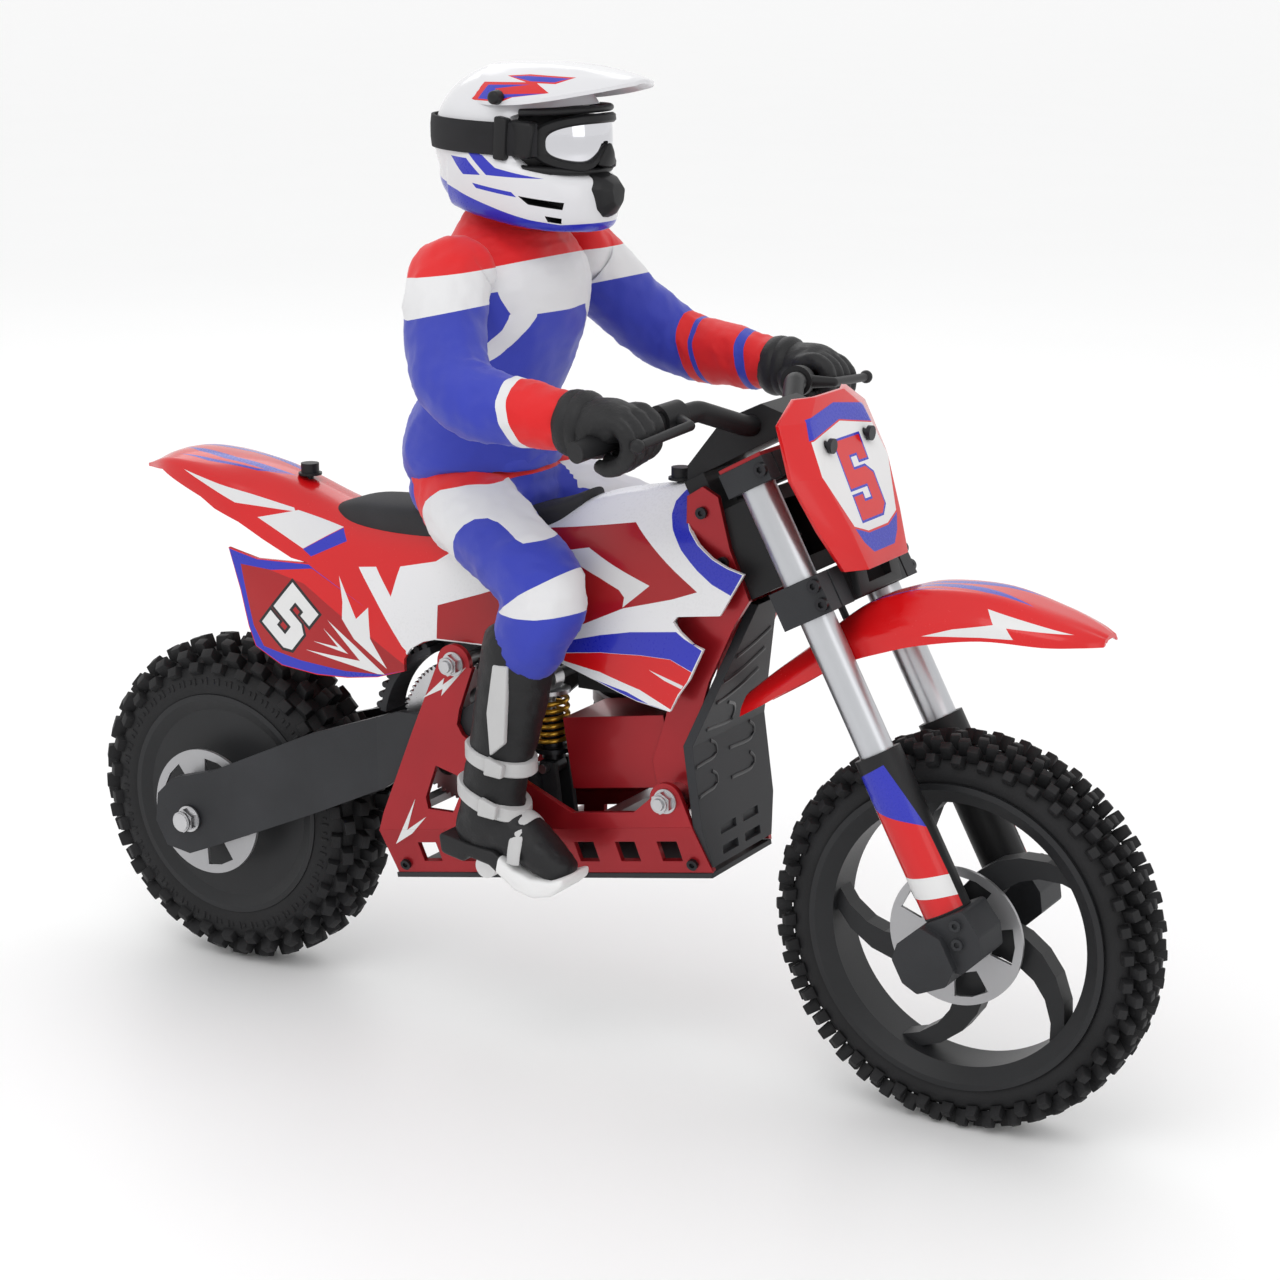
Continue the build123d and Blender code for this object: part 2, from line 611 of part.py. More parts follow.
def tank_post():
    """Arch over the steering servo, standing on the neck plates."""
    x = TANK_KNOB[0]
    post = Pos(x, 0, 239.0) * Box(7.0, 17.0, 3.6)
    for side in (-1, 1):
        post += Pos(x, side * 8.7, 228.0) * Box(7.0, 3.0, 20.0)
        post += side_prism([(x - 3.5, 218), (62, 222), (62, 226), (x - 3.5, 226)],
                           *sorted((side * 8.0, side * 17.6)))
    return post + knob(*TANK_KNOB)


# ---------------------------------------------------------------- steering assembly
def steering_stem():
    stem = fork_rod(0, 0, LOWER_CLAMP[0], 292.8, 4.0)
    lever = fork_slab([(-2.6, 0), (2.6, 0), (2.2, STEER_ARM), (-2.2, STEER_ARM)], 258.5, 260.5)
    lever += fork_rod(0, STEER_ARM, 258.5, 260.5, 2.2)
    lever += fork_rod(0, STEER_ARM, 254.5, 258.5, 1.0)
    collar = fork_rod(0, 0, 258.5, 263.5, 5.5)
    return stem + lever + collar


def clamp_plan(boss_r, reach):
    """Plan outline of a fork clamp: flat outer ends, a waist round the stem."""
    back, end = FORK_OFFSET - boss_r, FORK_Y + reach
    half = [(-9.0, 0), (-9.0, 7.0), (back, FORK_Y - 9.0), (back, end),
            (FORK_OFFSET + boss_r + 2.0, end), (FORK_OFFSET + boss_r + 2.0, FORK_Y - 10.0),
            (11.0, 12.0), (9.0, 0)]
    return half + [(a, -y) for a, y in reversed(half[1:-1])]


def fork_clamp(low, high, boss_r, reach):
    clamp = fork_slab(clamp_plan(boss_r, reach), low, high)
    for y in (-FORK_Y, FORK_Y):
        clamp -= fork_rod(FORK_OFFSET, y, low - 1, high + 1, TUBE_R)
        slot = FORK * Pos(FORK_OFFSET + boss_r, y, (low + high) / 2)
        clamp -= slot * Box(12.0, 1.2, high - low + 2)
    return clamp - fork_rod(0, 0, low - 1, high + 1, 4.0)


def lower_clamp():
    return fork_clamp(*LOWER_CLAMP, 10.5, 9.0) - fender_bolt_holes()


def upper_clamp():
    return fork_clamp(*UPPER_CLAMP, 9.5, 8.5)


def clamp_top_plate():
    """Red plate laid on the upper clamp."""
    plate = fork_slab(clamp_plan(9.0, 8.0), UPPER_CLAMP[1], UPPER_CLAMP[1] + 1.6)
    return plate - fork_rod(0, 0, 290, 296, 4.0)


def fork_tubes():
    pieces = []
    for y in (-FORK_Y, FORK_Y):
        tube = fork_rod(FORK_OFFSET, y, TUBE_LOW, UPPER_CLAMP[1], TUBE_R)
        tube -= fork_rod(FORK_OFFSET, y, TUBE_LOW - 1, 200.0, 5.2)
        pieces += tube.solids()
    return Compound(children=pieces)


def clamp_screws():
    """Pinch screws of the clamps, one each side above and two each side below."""
    pieces = []
    places = [(FORK_OFFSET + 9.2, 286.5, FORK_Y + 8.5), (FORK_OFFSET + 10.0, 237.6, FORK_Y + 9.0),
              (FORK_OFFSET + 10.0, 229.9, FORK_Y + 9.0)]
    for ahead, along, face in places:
        x, _, z = fork_point(ahead, 0, along)
        pieces += both_sides(button_head(x, z, -face, -1, 2.7, 2.0)).solids()
    return Compound(children=pieces)


def number_plate():
    """Faceted front shield with side wings folded back, on a bracket from the lower clamp."""
    wall = 1.8
    levels = [  # along z: centre x, half width of the flat, wing half width, wing set back
        (289.0, 114.5, 12.0, 22.0, 4.0),
        (281.0, 117.7, 23.0, 37.0, 6.0),
        (261.0, 126.5, 28.5, 41.0, 7.0),
        (241.0, 135.0, 19.0, 33.0, 8.0),
        (225.0, 141.5, 15.0, 26.0, 7.0),
    ]

    def skin(shrink):
        sections = []
        for z, x, flat, wing, back in levels:
            plane = Plane(origin=(0, 0, z), x_dir=(1, 0, 0), z_dir=(0, 0, 1))
            points = [(x - shrink, -flat), (x - shrink, flat), (x - back - shrink, wing),
                      (x - back - 30, wing), (x - back - 30, -wing), (x - back - shrink, -wing)]
            sections.append(plane * polygon(points))
        return loft(sections, ruled=True)

    plate = skin(0) - skin(wall)
    bracket_wall = fork_side([(28.0, 226.5), (29.5, 241.0), (36.0, 250.0), (38.8, 249.0),
                              (31.0, 226.5)], -18.0, 18.0)
    bracket_wall -= fork_side([(26.0, 231.0), (26.0, 241.0), (36.0, 241.0), (36.0, 231.0)],
                              -9.0, 9.0)
    for y in (-16.8, 16.8):
        plate -= rod((100, y, 271.5), (150, y, 271.5), 1.7)
    return plate + bracket_wall


def number_plate_screws():
    pieces = []
    for y in (-16.8, 16.8):
        screw = rod((112.0, y, 271.5), (123.3, y, 271.5), 1.6)
        screw += rod((123.3, y, 271.5), (125.1, y, 271.5), 3.0)
        pieces += screw.solids()
    return Compound(children=pieces)


def front_fender():
    """Arched mudguard under the lower clamp, a thin channel with splayed sides."""
    stations = [  # x, ridge z, flat half width, side half width, side depth
        (84.0, 166.0, 8.0, 15.0, 9.0),
        (110.0, 187.0, 9.0, 20.0, 14.0),
        (134.0, 209.0, 10.0, 22.0, 20.0),
        (163.0, 218.5, 11.0, 22.0, 20.0),
        (190.0, 219.0, 11.0, 21.0, 17.0),
        (214.0, 213.5, 9.0, 18.5, 12.0),
        (231.0, 208.5, 6.0, 13.0, 4.0),
    ]

    def skin(wall):
        sections = []
        for x, ridge, flat, side, depth in stations:
            plane = Plane(origin=(x, 0, 0), x_dir=(0, 1, 0), z_dir=(1, 0, 0))
            low = ridge - depth - (6.0 if wall else 0.0)
            points = [(-side + wall, low), (-flat, ridge - wall), (flat, ridge - wall),
                      (side - wall, low)]
            sections.append(plane * polygon(points))
        return loft(sections, ruled=True)

    low = LOWER_CLAMP[0]
    fender = skin(0) - skin(1.6) + fork_slab([(1, -10), (13, -10), (13, 10), (1, 10)], low - 11, low)
    fender -= fork_slab([(-30, -40), (40, -40), (40, 40), (-30, 40)], low, low + 60)
    fender -= fender_bolt_holes()
    for y in (-FORK_Y, FORK_Y):
        fender -= fork_rod(FORK_OFFSET, y, 150, 240, TUBE_R + 0.3)
    return fender


FENDER_BOLT = (7.0, 6.0)       # ahead of the steering axis, and out from the middle


def fender_bolt_holes():
    ahead, y = FENDER_BOLT
    low = LOWER_CLAMP[0]
    return fork_rod(ahead, y, low - 12.0, low + 8.0, 1.55) + fork_rod(
        ahead, -y, low - 12.0, low + 8.0, 1.55)


def fender_bolts():
    ahead, side = FENDER_BOLT
    low = LOWER_CLAMP[0]
    pieces = []
    for y in (-side, side):
        bolt = fork_rod(ahead, y, low - 11.0, low + 7.0, 1.5)
        bolt += fork_rod(ahead, y, low - 12.8, low - 11.0, 2.8)
        pieces += bolt.solids()
    return Compound(children=pieces)


# ---------------------------------------------------------------- fork legs and front wheel
def fork_leg(y):
    leg = fork_rod(FORK_OFFSET, y, LEG_LOW, LEG_TOP, LEG_R)
    leg -= fork_rod(FORK_OFFSET, y, LEG_LOW + 6, LEG_TOP + 1, TUBE_R + RUN_CLEARANCE)
    return leg


def axle_block():
    """Right axle carrier: a rounded block on the axle and a lump ahead of it."""
    lower = fork_side([(-8, 84), (-4, 78), (9, 77), (15, 82), (15, 95), (9, LEG_LOW),
                       (-3, 99), (-8, 94)], -44.0, -22.0)
    upper = fork_side([(9, 82), (16, 79), (26, 82), (29, 90), (27, LEG_LOW), (9, LEG_LOW)],
                      -40.0, -19.5)
    block = fillet(lower.edges().filter_by(Axis.Y), 2.0) + fillet(
        upper.edges().filter_by(Axis.Y), 2.0)
    return block - cross_rod(*front_axle_place(), -42.0, -15.0, 3.05)


def front_axle_place():
    x, _, z = fork_point(AXLE_AHEAD, 0, AXLE_ALONG)
    return (x, z)


def front_axle():
    x, z = front_axle_place()
    return cross_rod(x, z, -41.0, 41.0, 3.0)


def axle_block_screws():
    pieces = []
    for ahead, along in ((19.5, 90.5), (22.0, 97.5)):
        x, _, z = fork_point(ahead, 0, along)
        pieces += both_sides(button_head(x, z, -40.0, -1, 2.4, 1.6)).solids()
    return Compound(children=pieces)


def axle_spacers():
    x, z = front_axle_place()
    return both_sides(ring(x, z, 3.05, 5.0, -19.3, -9.6))


def fork_springs():
    pieces = []
    for y in (-FORK_Y, FORK_Y):
        pieces += spring(fork_point(FORK_OFFSET, y, LEG_LOW + 6.2),
                         fork_point(FORK_OFFSET, y, 199.8), 4.2, 0.7, 14).solids()
    return Compound(children=pieces)


def blade_spokes(x, z, r_in, r_out, count, lean, width_in, width_out, y_half):
    """Curved spokes: each edge is an arc from the hub to the rim that sweeps round by lean."""
    plane = wheel_plane(x, z) * Pos(0, 0, -y_half)
    spokes = Part()
    for index in range(count):
        base = 2 * math.pi * index / count
        edge = []
        for side in (-1, 1):
            line = []
            for step in range(7):
                share = step / 6
                r = r_in + (r_out - r_in) * share
                half = (width_in + (width_out - width_in) * share) / 2
                angle = base + lean * share ** 1.5 + side * half / r
                line.append((r * math.cos(angle), r * math.sin(angle)))
            edge.append(line)
        spokes += extrude(plane * polygon(edge[0] + edge[1][::-1]), amount=2 * y_half)
    return spokes


def front_rim():
    x, z = front_axle_place()
    barrel = turned(x, z, [(54.5, -9.5), (60.5, -14.0), (63.0, -14.0), (63.0, -11.0),
                           (59.5, -7.0), (59.5, 7.0), (63.0, 11.0), (63.0, 14.0),
                           (60.5, 14.0), (54.5, 9.5)])
    hub = ring(x, z, 0, 13.0, -9.0, 9.0)
    spokes = blade_spokes(x, z, 11.5, 57.0, 5, 0.75, 15.0, 9.0, 4.5)
    rim = barrel + hub + spokes
    rim -= ring(x, z, 0, 3.6, -10, 10)
    rim -= ring(x, z, 0, 6.0, -9.5, -5.5)
    return rim - ring(x, z, 0, 6.0, 5.5, 9.5)


def front_bearings():
    x, z = front_axle_place()
    return both_sides(ring(x, z, 3.05, 5.98, -9.0, -5.6))


def tyre(x, z, rim_r, outer_r, half_w):
    """Tyre as turned rubber: beads, rounded side walls and stepped tread bands."""
    depth = outer_r - rim_r
    outline = [(rim_r, -half_w * 0.76), (rim_r + depth * 0.10, -half_w * 0.86),
               (rim_r + depth * 0.45, -half_w * 0.97), (rim_r + depth * 0.62, -half_w),
               (rim_r + depth * 0.80, -half_w * 0.90), (rim_r + depth * 0.94, -half_w * 0.60),
               (outer_r, -half_w * 0.30), (outer_r, half_w * 0.30),
               (rim_r + depth * 0.94, half_w * 0.60), (rim_r + depth * 0.80, half_w * 0.90),
               (rim_r + depth * 0.62, half_w), (rim_r + depth * 0.45, half_w * 0.97),
               (rim_r + depth * 0.10, half_w * 0.86), (rim_r, half_w * 0.76)]
    return turned(x, z, outline)


def front_tyre():
    x, z = front_axle_place()
    return tyre(x, z, FRONT_RIM_R, FRONT_TYRE_R, FRONT_TYRE_W / 2)


def brake_disc(x, z, radius, y_low, y_high, bore):
    """Flat disc with five wide windows, and small holes near its edge."""
    disc = ring(x, z, bore, radius, y_low, y_high)
    window = polygon([(15.0, -5.0), (24.0, -7.5), (25.2, 0.0), (24.0, 7.5), (15.0, 5.0)])
    for index in range(5):
        plane = wheel_plane(x, z) * Pos(0, 0, y_low) * Rotation(0, 0, 72 * index)
        disc -= extrude(plane * window, amount=y_high - y_low)
    return disc


def front_disc():
    x, z = front_axle_place()
    return brake_disc(x, z, 28.5, -10.6, -9.1, 6.5)


def front_disc_screws():
    x, z = front_axle_place()
    pieces = []
    for px, pz in around(x, z, 5, 9.8, math.radians(36)):
        pieces += button_head(px, pz, -10.6, -1, 1.5, 1.2).solids()
    return Compound(children=pieces)


# ---------------------------------------------------------------- swingarm, shock, rear wheel
def swingarm():
    """Two deep side arms, a bridge ahead of the tyre and a forward lever for the shock."""
    side = [(-44, 137.5), (-50, 139.5), (-75, 139), (-122, 122.5), (-172, 99.5), (-192, 94),
            (-200, 86), (-201.5, 73), (-196, 62), (-184, 59.5), (-168, 66), (-120, 86.5),
            (-84, 103), (-56, 123), (-44, 124.5)]
    plan = [(-40, -28.3), (-87, -28.3), (-140, -36.0), (-204, -42.5), (-204, -36.5),
            (-140, -30.0), (-87, -24.3), (-40, -24.3)]
    arm = side_prism(side, -44, -20)
    arm = arm & extrude(Plane.XY * Pos(0, 0, 40) * polygon(plan), amount=120)
    arm += cross_rod(PIVOT_X, PIVOT_Z, -28.3, -24.3, 8.0)
    arm += side_prism([(-50, 139), (-56, 132), (-44, 124), (-9.5, 154), (-12, 161),
                       (-20, 161)], -28.3, -24.3)
    right = arm
    both = right + other_side(right)
    both += side_prism([(-91.5, 107), (-98, 105.5), (-98.5, 121.5), (-91.5, 124.5)], -27.0, 27.0)
    both += cross_rod(*SHOCK_TOP, -24.4, 24.4, 2.5)
    both -= cross_rod(PIVOT_X, PIVOT_Z, -45, 45, PIN_R + RUN_CLEARANCE)
    both -= cross_rod(REAR_X, REAR_TYRE_R, -50, 50, 4.02)
    return both


def rear_axle():
    return cross_rod(REAR_X, REAR_TYRE_R, -48.0, 48.0, 4.0)


def axle_face():
    """How far out the swingarm's outer face stands at the rear axle."""
    share = (REAR_X - -140.0) / (-204.0 - -140.0)
    return 36.0 + (42.5 - 36.0) * share


def rear_axle_nuts():
    """Chain adjuster block, washer and locking nut at each end of the rear axle."""
    pieces = []
    plane = Plane(origin=(REAR_X, -axle_face() - 1.0, REAR_TYRE_R), z_dir=(0, -1, 0))
    nut = extrude(plane * Circle(6.0), amount=0.9)
    nut += extrude(plane * Pos(0, 0, 0.9) * RegularPolygon(5.4, 6), amount=3.6)
    nut += extrude(plane * Pos(0, 0, 4.5) * Circle(4.6), amount=1.5)
    nut -= cross_rod(REAR_X, REAR_TYRE_R, -60, -30, 4.02)
    pieces += both_sides(nut).solids()
    return Compound(children=pieces)


def drive_chain():
    """Closed chain: two plate bands round both sprockets, joined by a roller at each pitch."""
    small, large = FRONT_SPROCKET_R, REAR_SPROCKET_R
    dx, dz = REAR_X - PIVOT_X, REAR_TYRE_R - PIVOT_Z
    span = math.hypot(dx, dz)
    heading = math.atan2(dz, dx)
    lean = math.asin((large - small) / span)

    def tangent_loop(grow):
        points = []
        for centre, radius, start, end, count in (
                ((PIVOT_X, PIVOT_Z), small + grow, heading + math.pi / 2 + lean,
                 heading + 3 * math.pi / 2 - lean, 12),
                ((REAR_X, REAR_TYRE_R), large + grow, heading - math.pi / 2 - lean,
                 heading + math.pi / 2 + lean, 20)):
            for index in range(count + 1):
                angle = start + (end - start) * index / count
                points.append((centre[0] + radius * math.cos(angle),
                               centre[1] + radius * math.sin(angle)))
        return points

    band = side_prism(tangent_loop(1.7), CHAIN_Y - 1.6, CHAIN_Y + 1.6)
    band -= side_prism(tangent_loop(-1.9), CHAIN_Y - 1.6, CHAIN_Y + 1.6)
    for x, z, radius in ((PIVOT_X, PIVOT_Z, small), (REAR_X, REAR_TYRE_R, large)):
        band -= ring(x, z, 0, radius + 1.2, CHAIN_Y - 0.75, CHAIN_Y + 0.75)
    return band


def shock_axis():
    return Vector(SHOCK_TOP[0] - SHOCK_LOW[0], 0, SHOCK_TOP[1] - SHOCK_LOW[1]).normalized()


def shock_point(along):
    direction = shock_axis()
    return (SHOCK_LOW[0] + direction.X * along, 0, SHOCK_LOW[1] + direction.Z * along)


def shock_body():
    body = rod(shock_point(3.0), shock_point(22.5), 5.0)
    body += cross_rod(*SHOCK_LOW, -3.5, 3.5, 4.0)
    body += rod(shock_point(6.0), shock_point(8.0), 8.6)
    body -= rod(shock_point(8.5), shock_point(30.0), 2.05)
    return body - cross_rod(*SHOCK_LOW, -5, 5, 2.05)


def shock_rod():
    """Piston rod with a spring seat, and an eye that leaves room round the lever's crossbar."""
    length = Vector(SHOCK_TOP[0] - SHOCK_LOW[0], 0, SHOCK_TOP[1] - SHOCK_LOW[1]).length
    piston = rod(shock_point(17.5), shock_point(length - 3.5), 2.0)
    piston += rod(shock_point(length - 6.5), shock_point(length - 4.7), 8.6)
    piston += cross_rod(*SHOCK_TOP, -3.5, 3.5, 5.2)
    return piston - cross_rod(*SHOCK_TOP, -5, 5, 3.1)


def shock_spring():
    length = Vector(SHOCK_TOP[0] - SHOCK_LOW[0], 0, SHOCK_TOP[1] - SHOCK_LOW[1]).length
    return spring(shock_point(8.1), shock_point(length - 6.6), 6.9, 1.0, 5)


def shock_pin():
    return cross_rod(*SHOCK_LOW, -10.0, 10.0, 2.0)


def shock_bracket():
    """One of two ears that stand on the skid plate and hold the lower shock pin."""
    ear = side_prism([(-18, 113.5), (-17, 120.5), (-10, 120.5), (-4, floor_under(-4)),
                      (-11, floor_under(-11))], 4.2, 7.0)
    ear -= cross_rod(*SHOCK_LOW, 3, 8, 2.01)
    return ear


def rear_rim():
    """Rim barrel with the right side cover and the boss that carries the brake disc."""
    x, z = REAR_X, REAR_TYRE_R
    rim = turned(x, z, [(51.5, 17.0), (49.0, 17.0), (48.0, 12.2), (48.0, -10.0), (44.0, -12.5),
                        (14.0, -11.0), (14.0, -10.0), (7.5, -10.0), (7.5, -14.0), (12.5, -14.0),
                        (12.5, -28.0), (5.6, -28.0), (5.6, -30.0), (15.0, -30.0), (15.0, -14.5),
                        (44.0, -14.6), (49.0, -17.0), (51.5, -17.0)])
    return rim


def rear_cover():
    """Left side cover of the flywheel chamber, with the sprocket boss."""
    x, z = REAR_X, REAR_TYRE_R
    cover = turned(x, z, [(47.6, 12.4), (47.6, 14.4), (14.0, 14.4), (14.0, 21.3), (7.5, 21.3),
                          (7.5, 12.4)])
    return cover


def rear_bearings():
    x, z = REAR_X, REAR_TYRE_R
    right = ring(x, z, 4.05, 7.48, -14.0, -10.1)
    left = ring(x, z, 4.05, 7.48, 12.5, 16.5)
    return Compound(children=[*right.solids(), *left.solids()])


def rear_tyre():
    return tyre(REAR_X, REAR_TYRE_R, REAR_RIM_R, REAR_TYRE_R, REAR_TYRE_W / 2)


def rear_disc():
    return brake_disc(REAR_X, REAR_TYRE_R, 29.0, -29.6, -28.1, 15.02)


def rear_sprocket():
    return sprocket(REAR_X, REAR_TYRE_R, REAR_SPROCKET_R, 7.6, 25)


def gyro_flywheel():
    """Heavy balance wheel that spins inside the rear rim."""
    x, z = REAR_X, REAR_TYRE_R
    wheel = turned(x, z, [(7.6, -8.0), (12.0, -8.0), (12.0, -2.0), (33.0, -2.0), (33.0, -8.5),
                          (45.0, -8.5), (45.0, 10.5), (33.0, 10.5), (33.0, 2.0), (12.0, 2.0),
                          (12.0, 9.0), (7.6, 9.0)])
    return wheel


def flywheel_bearing():
    x, z = REAR_X, REAR_TYRE_R
    return ring(x, z, 4.05, 7.58, -8.0, 9.0)


# ---------------------------------------------------------------- rider figure
def rider_torso():
    """Jersey from hem to shoulders, with the neck and the plain head the helmet hides."""
    stations = [(236, -48, 27, 33), (248, -47, 29.5, 36), (280, -43, 26, 33),
                (305, -36, 29, 40), (325, -33, 28, 43), (339, -34, 21, 32)]
    sections = [Pos(x, 0, z) * Ellipse(a, b) for z, x, a, b in stations]
    body = loft(sections)
    neck = rod((-35, 0, 337), (-32, 0, 356), 15.0)
    head = Pos(-29, 0, 373) * scale(Sphere(1), (25, 20, 24))
    return body + neck + head


def rider_arm(torso):
    """Left sleeve: round shoulder cap, bent elbow, cuff at the wrist."""
    arm = limb([(-30, 49, 330), (-4, 84, 291), (44, 82, 284)], [16.5, 14.5, 10.5])
    return arm - torso


def rider_glove(arm, bar, levers):
    """Left glove closed round the grip."""
    glove = limb([(46, 82, 284), (62, 82, 281)], [10.4, 10.8])
    x, y, z = HAND
    glove += limb([(x + 5, y - 10, z - 3), (x + 3, y + 10, z - 3)], [10.5, 10.5])
    return glove - arm - bar - levers


def rider_pants(torso, seat_pad, block):
    legs = Pos(-47, 0, 232) * scale(Sphere(1), (28, 34, 13))
    for side in (-1, 1):
        legs += limb([(-44, side * 22, 232), (10, side * 46, 213), (4, side * FOOT_Y, 184)],
                     [19.5, 16.5, 14.8])
    return legs - torso - seat_pad - block


def rider_boot(pants):
    """Left boot: tall shaft, ankle, and a foot that slopes down to the toe."""
    shaft = cone_between((2.5, FOOT_Y, 183), (-12, FOOT_Y, 118), 15.5, 12.5)
    foot = limb([(-19, FOOT_Y, 112), (16, FOOT_Y, 94)], [11.5, 8.5])
    heel = side_prism([(-32, 104), (-31, 94), (-20, 91), (-12, 91.5), (6, 81), (20, 84.5),
                       (26, 91), (20, 100), (-4, 112), (-24, 116)], FOOT_Y - 10.5, FOOT_Y + 10.5)
    return (shaft + foot + heel) - pants


def helmet_form():
    """Round crown with a chin bar reaching forward."""
    crown = Pos(-25, 0, 381) * scale(Sphere(1), (37, 31, 31.5))
    jaw = limb([(-28, 0, 366), (-1, 0, 360)], [24.0, 16.5])
    return crown + jaw


def helmet(torso):
    shell = helmet_form()
    shell -= Pos(-27, 0, 371) * scale(Sphere(1), (32, 26, 28))
    shell -= Pos(-32, 0, 340) * Cylinder(25.0, 30.0)
    port = side_prism([(-14, 391), (30, 394), (30, 368), (-8, 371)], -34, 34)
    return max(((shell - port) - torso).solids(), key=lambda solid: solid.volume)


def helmet_visor():
    """Peak over the goggles, tapering out to a rounded tip."""
    plan = [(-34, -27), (-34, 27), (-10, 30), (16, 23), (28, 12), (30, 0), (28, -12),
            (16, -23), (-10, -30)]
    blade = extrude(Plane.XY * Pos(0, 0, 385) * polygon(plan), amount=40)
    blade = blade & side_prism([(-40, 408.0), (-10, 411.0), (14, 411.0), (29, 407.5), (29, 403.5),
                                (14, 404.5), (-10, 403.5), (-40, 400.5)], -32, 32)
    return blade - helmet_form()


def goggle_frame():
    outer = [(-13.5, 390.5), (6, 391.5), (13, 388), (14, 378), (9, 369.5), (-7, 371.5)]
    frame = side_prism(outer, -27, 27)
    frame = frame & (Pos(-22, 0, 379) * Cylinder(35.0, 40))
    frame -= Pos(-22, 0, 379) * Cylinder(29.5, 40)
    opening = side_prism([(-4, 387.5), (30, 388.5), (30, 373), (-2, 374.5)], -21, 21)
    return (frame - opening) - helmet_form()


def goggle_lens():
    outline = [(-4, 387.4), (20, 388.4), (20, 373.1), (-2, 374.6)]
    lens = side_prism(outline, -20.9, 20.9)
    lens = lens & (Pos(-22, 0, 379) * Cylinder(33.5, 40))
    return lens - Pos(-22, 0, 379) * Cylinder(31.5, 40)


def goggle_strap():
    form = helmet_form()
    band = side_prism([(-64, 390), (-12, 388), (-12, 377), (-64, 379)], -36, 36)
    band = band & (Pos(-25, 0, 383) * scale(Sphere(1), (38.6, 32.6, 33.1)))
    return (band - form) - goggle_frame()


def mouth_vent():
    block = side_prism([(9, 370), (18, 366), (19.5, 358), (14, 352), (6, 353)], -8.5, 8.5)
    return block - helmet_form()


# ---------------------------------------------------------------- assembly
def group(*shapes):
    """Separate solids that share one node."""
    return Compound(children=[solid for shape in shapes for solid in shape.solids()])


def frame_parts(block):
    plate = frame_plate()
    return {
        "frame_plates": both_sides(plate),
        "neck_plates": both_sides(neck_plate()),
        "frame_rods": group(frame_rods(), crossbars(), side_lug_spacers(), pivot_pin(),
                            shock_pin()),
        "frame_nuts": frame_nuts(),
        "frame_screws": frame_screws(),
        "guard_plate": (guard_plate() - plate) - other_side(plate),
        "skid_plate": skid_plate(),
        "side_pucks": side_pucks(),
        "head_housing": head_housing(),
        "bar_mount": bar_mount(),
        "battery": battery(),
        "battery_bracket": battery_bracket(),
        "electronics": group(speed_controller(), receiver(), steering_servo()),
        "body_shell": body_shell(),
        "seat": seat(block),
        "body_mounts": group(tail_post(), tank_post()),
    }


def drive_parts():
    return {
        "drive_motor": drive_motor(),
        "motor_pinion": motor_pinion(),
        "gear_case": group(motor_mount(), gear_cover(), both_sides(shock_bracket())),
        "spur_gear": spur_gear(),
        "countershaft": countershaft(),
    }


def steering_parts():
    return {
        "servo_horn": servo_horn(),
        "drag_link": drag_link(),
        "steering_stem": group(steering_stem(), head_bearings()),
        "fork_clamps": group(lower_clamp(), upper_clamp()),
        "clamp_top_plate": clamp_top_plate(),
        "fork_tubes": fork_tubes(),
        "steering_screws": group(clamp_screws(), number_plate_screws(), fender_bolts()),
        "number_plate": number_plate(),
        "front_fender": front_fender(),
    }


def front_wheel_parts():
    return {
        "fork_legs": group(fork_leg(-FORK_Y), fork_leg(FORK_Y)),
        "fork_springs": fork_springs(),
        "axle_blocks": group(both_sides(axle_block()), axle_block_screws()),
        "front_axle": group(front_axle(), axle_spacers(), front_bearings()),
        "front_rim": front_rim(),
        "front_tyre": front_tyre(),
        "front_disc": group(front_disc(), front_disc_screws()),
    }


def rear_wheel_parts():
    return {
        "swingarm": swingarm(),
        "rear_axle": group(rear_axle(), rear_axle_nuts(), rear_bearings()),
        "drive_chain": drive_chain(),
        "shock_body": shock_body(),
        "shock_rod": shock_rod(),
        "shock_spring": shock_spring(),
        "rear_rim": group(rear_rim(), rear_cover()),
        "rear_tyre": rear_tyre(),
        "rear_disc": rear_disc(),
        "rear_sprocket": rear_sprocket(),
        "gyro_flywheel": group(gyro_flywheel(), flywheel_bearing()),
    }


def rider_parts(block):
    bar = handlebar()
    levers = brake_levers(bar)
    torso = rider_torso()
    arm = rider_arm(torso)
    pants = rider_pants(torso, seat(block), block)
    shell = helmet(torso)
    lens = goggle_lens()
    return {
        "handlebar": bar,
        "brake_levers": levers,
        "rider_torso": torso,
        "rider_arms": both_sides(arm),
        "rider_gloves": both_sides(rider_glove(arm, bar, levers)),
        "rider_pants": pants,
        "rider_boots": both_sides(rider_boot(pants)),
        "helmet": shell,
        "helmet_visor": helmet_visor(),
        "goggles": group((goggle_frame() - lens) - shell, (goggle_strap() - lens) - shell),
        "goggle_lens": lens,
        "mouth_vent": mouth_vent(),
    }


def build_parts():
    block = shell_block(0)
    return {**frame_parts(block), **drive_parts(), **steering_parts(), **front_wheel_parts(),
            **rear_wheel_parts(), **rider_parts(block)}


os.makedirs("parts", exist_ok=True)
for name, shape in build_parts().items():
    export_step(shape, os.path.join("parts", name + ".step"))
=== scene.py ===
import math

import bmesh
import bpy
import numpy as np
from mathutils import Matrix, Vector, noise
from mathutils.bvhtree import BVHTree


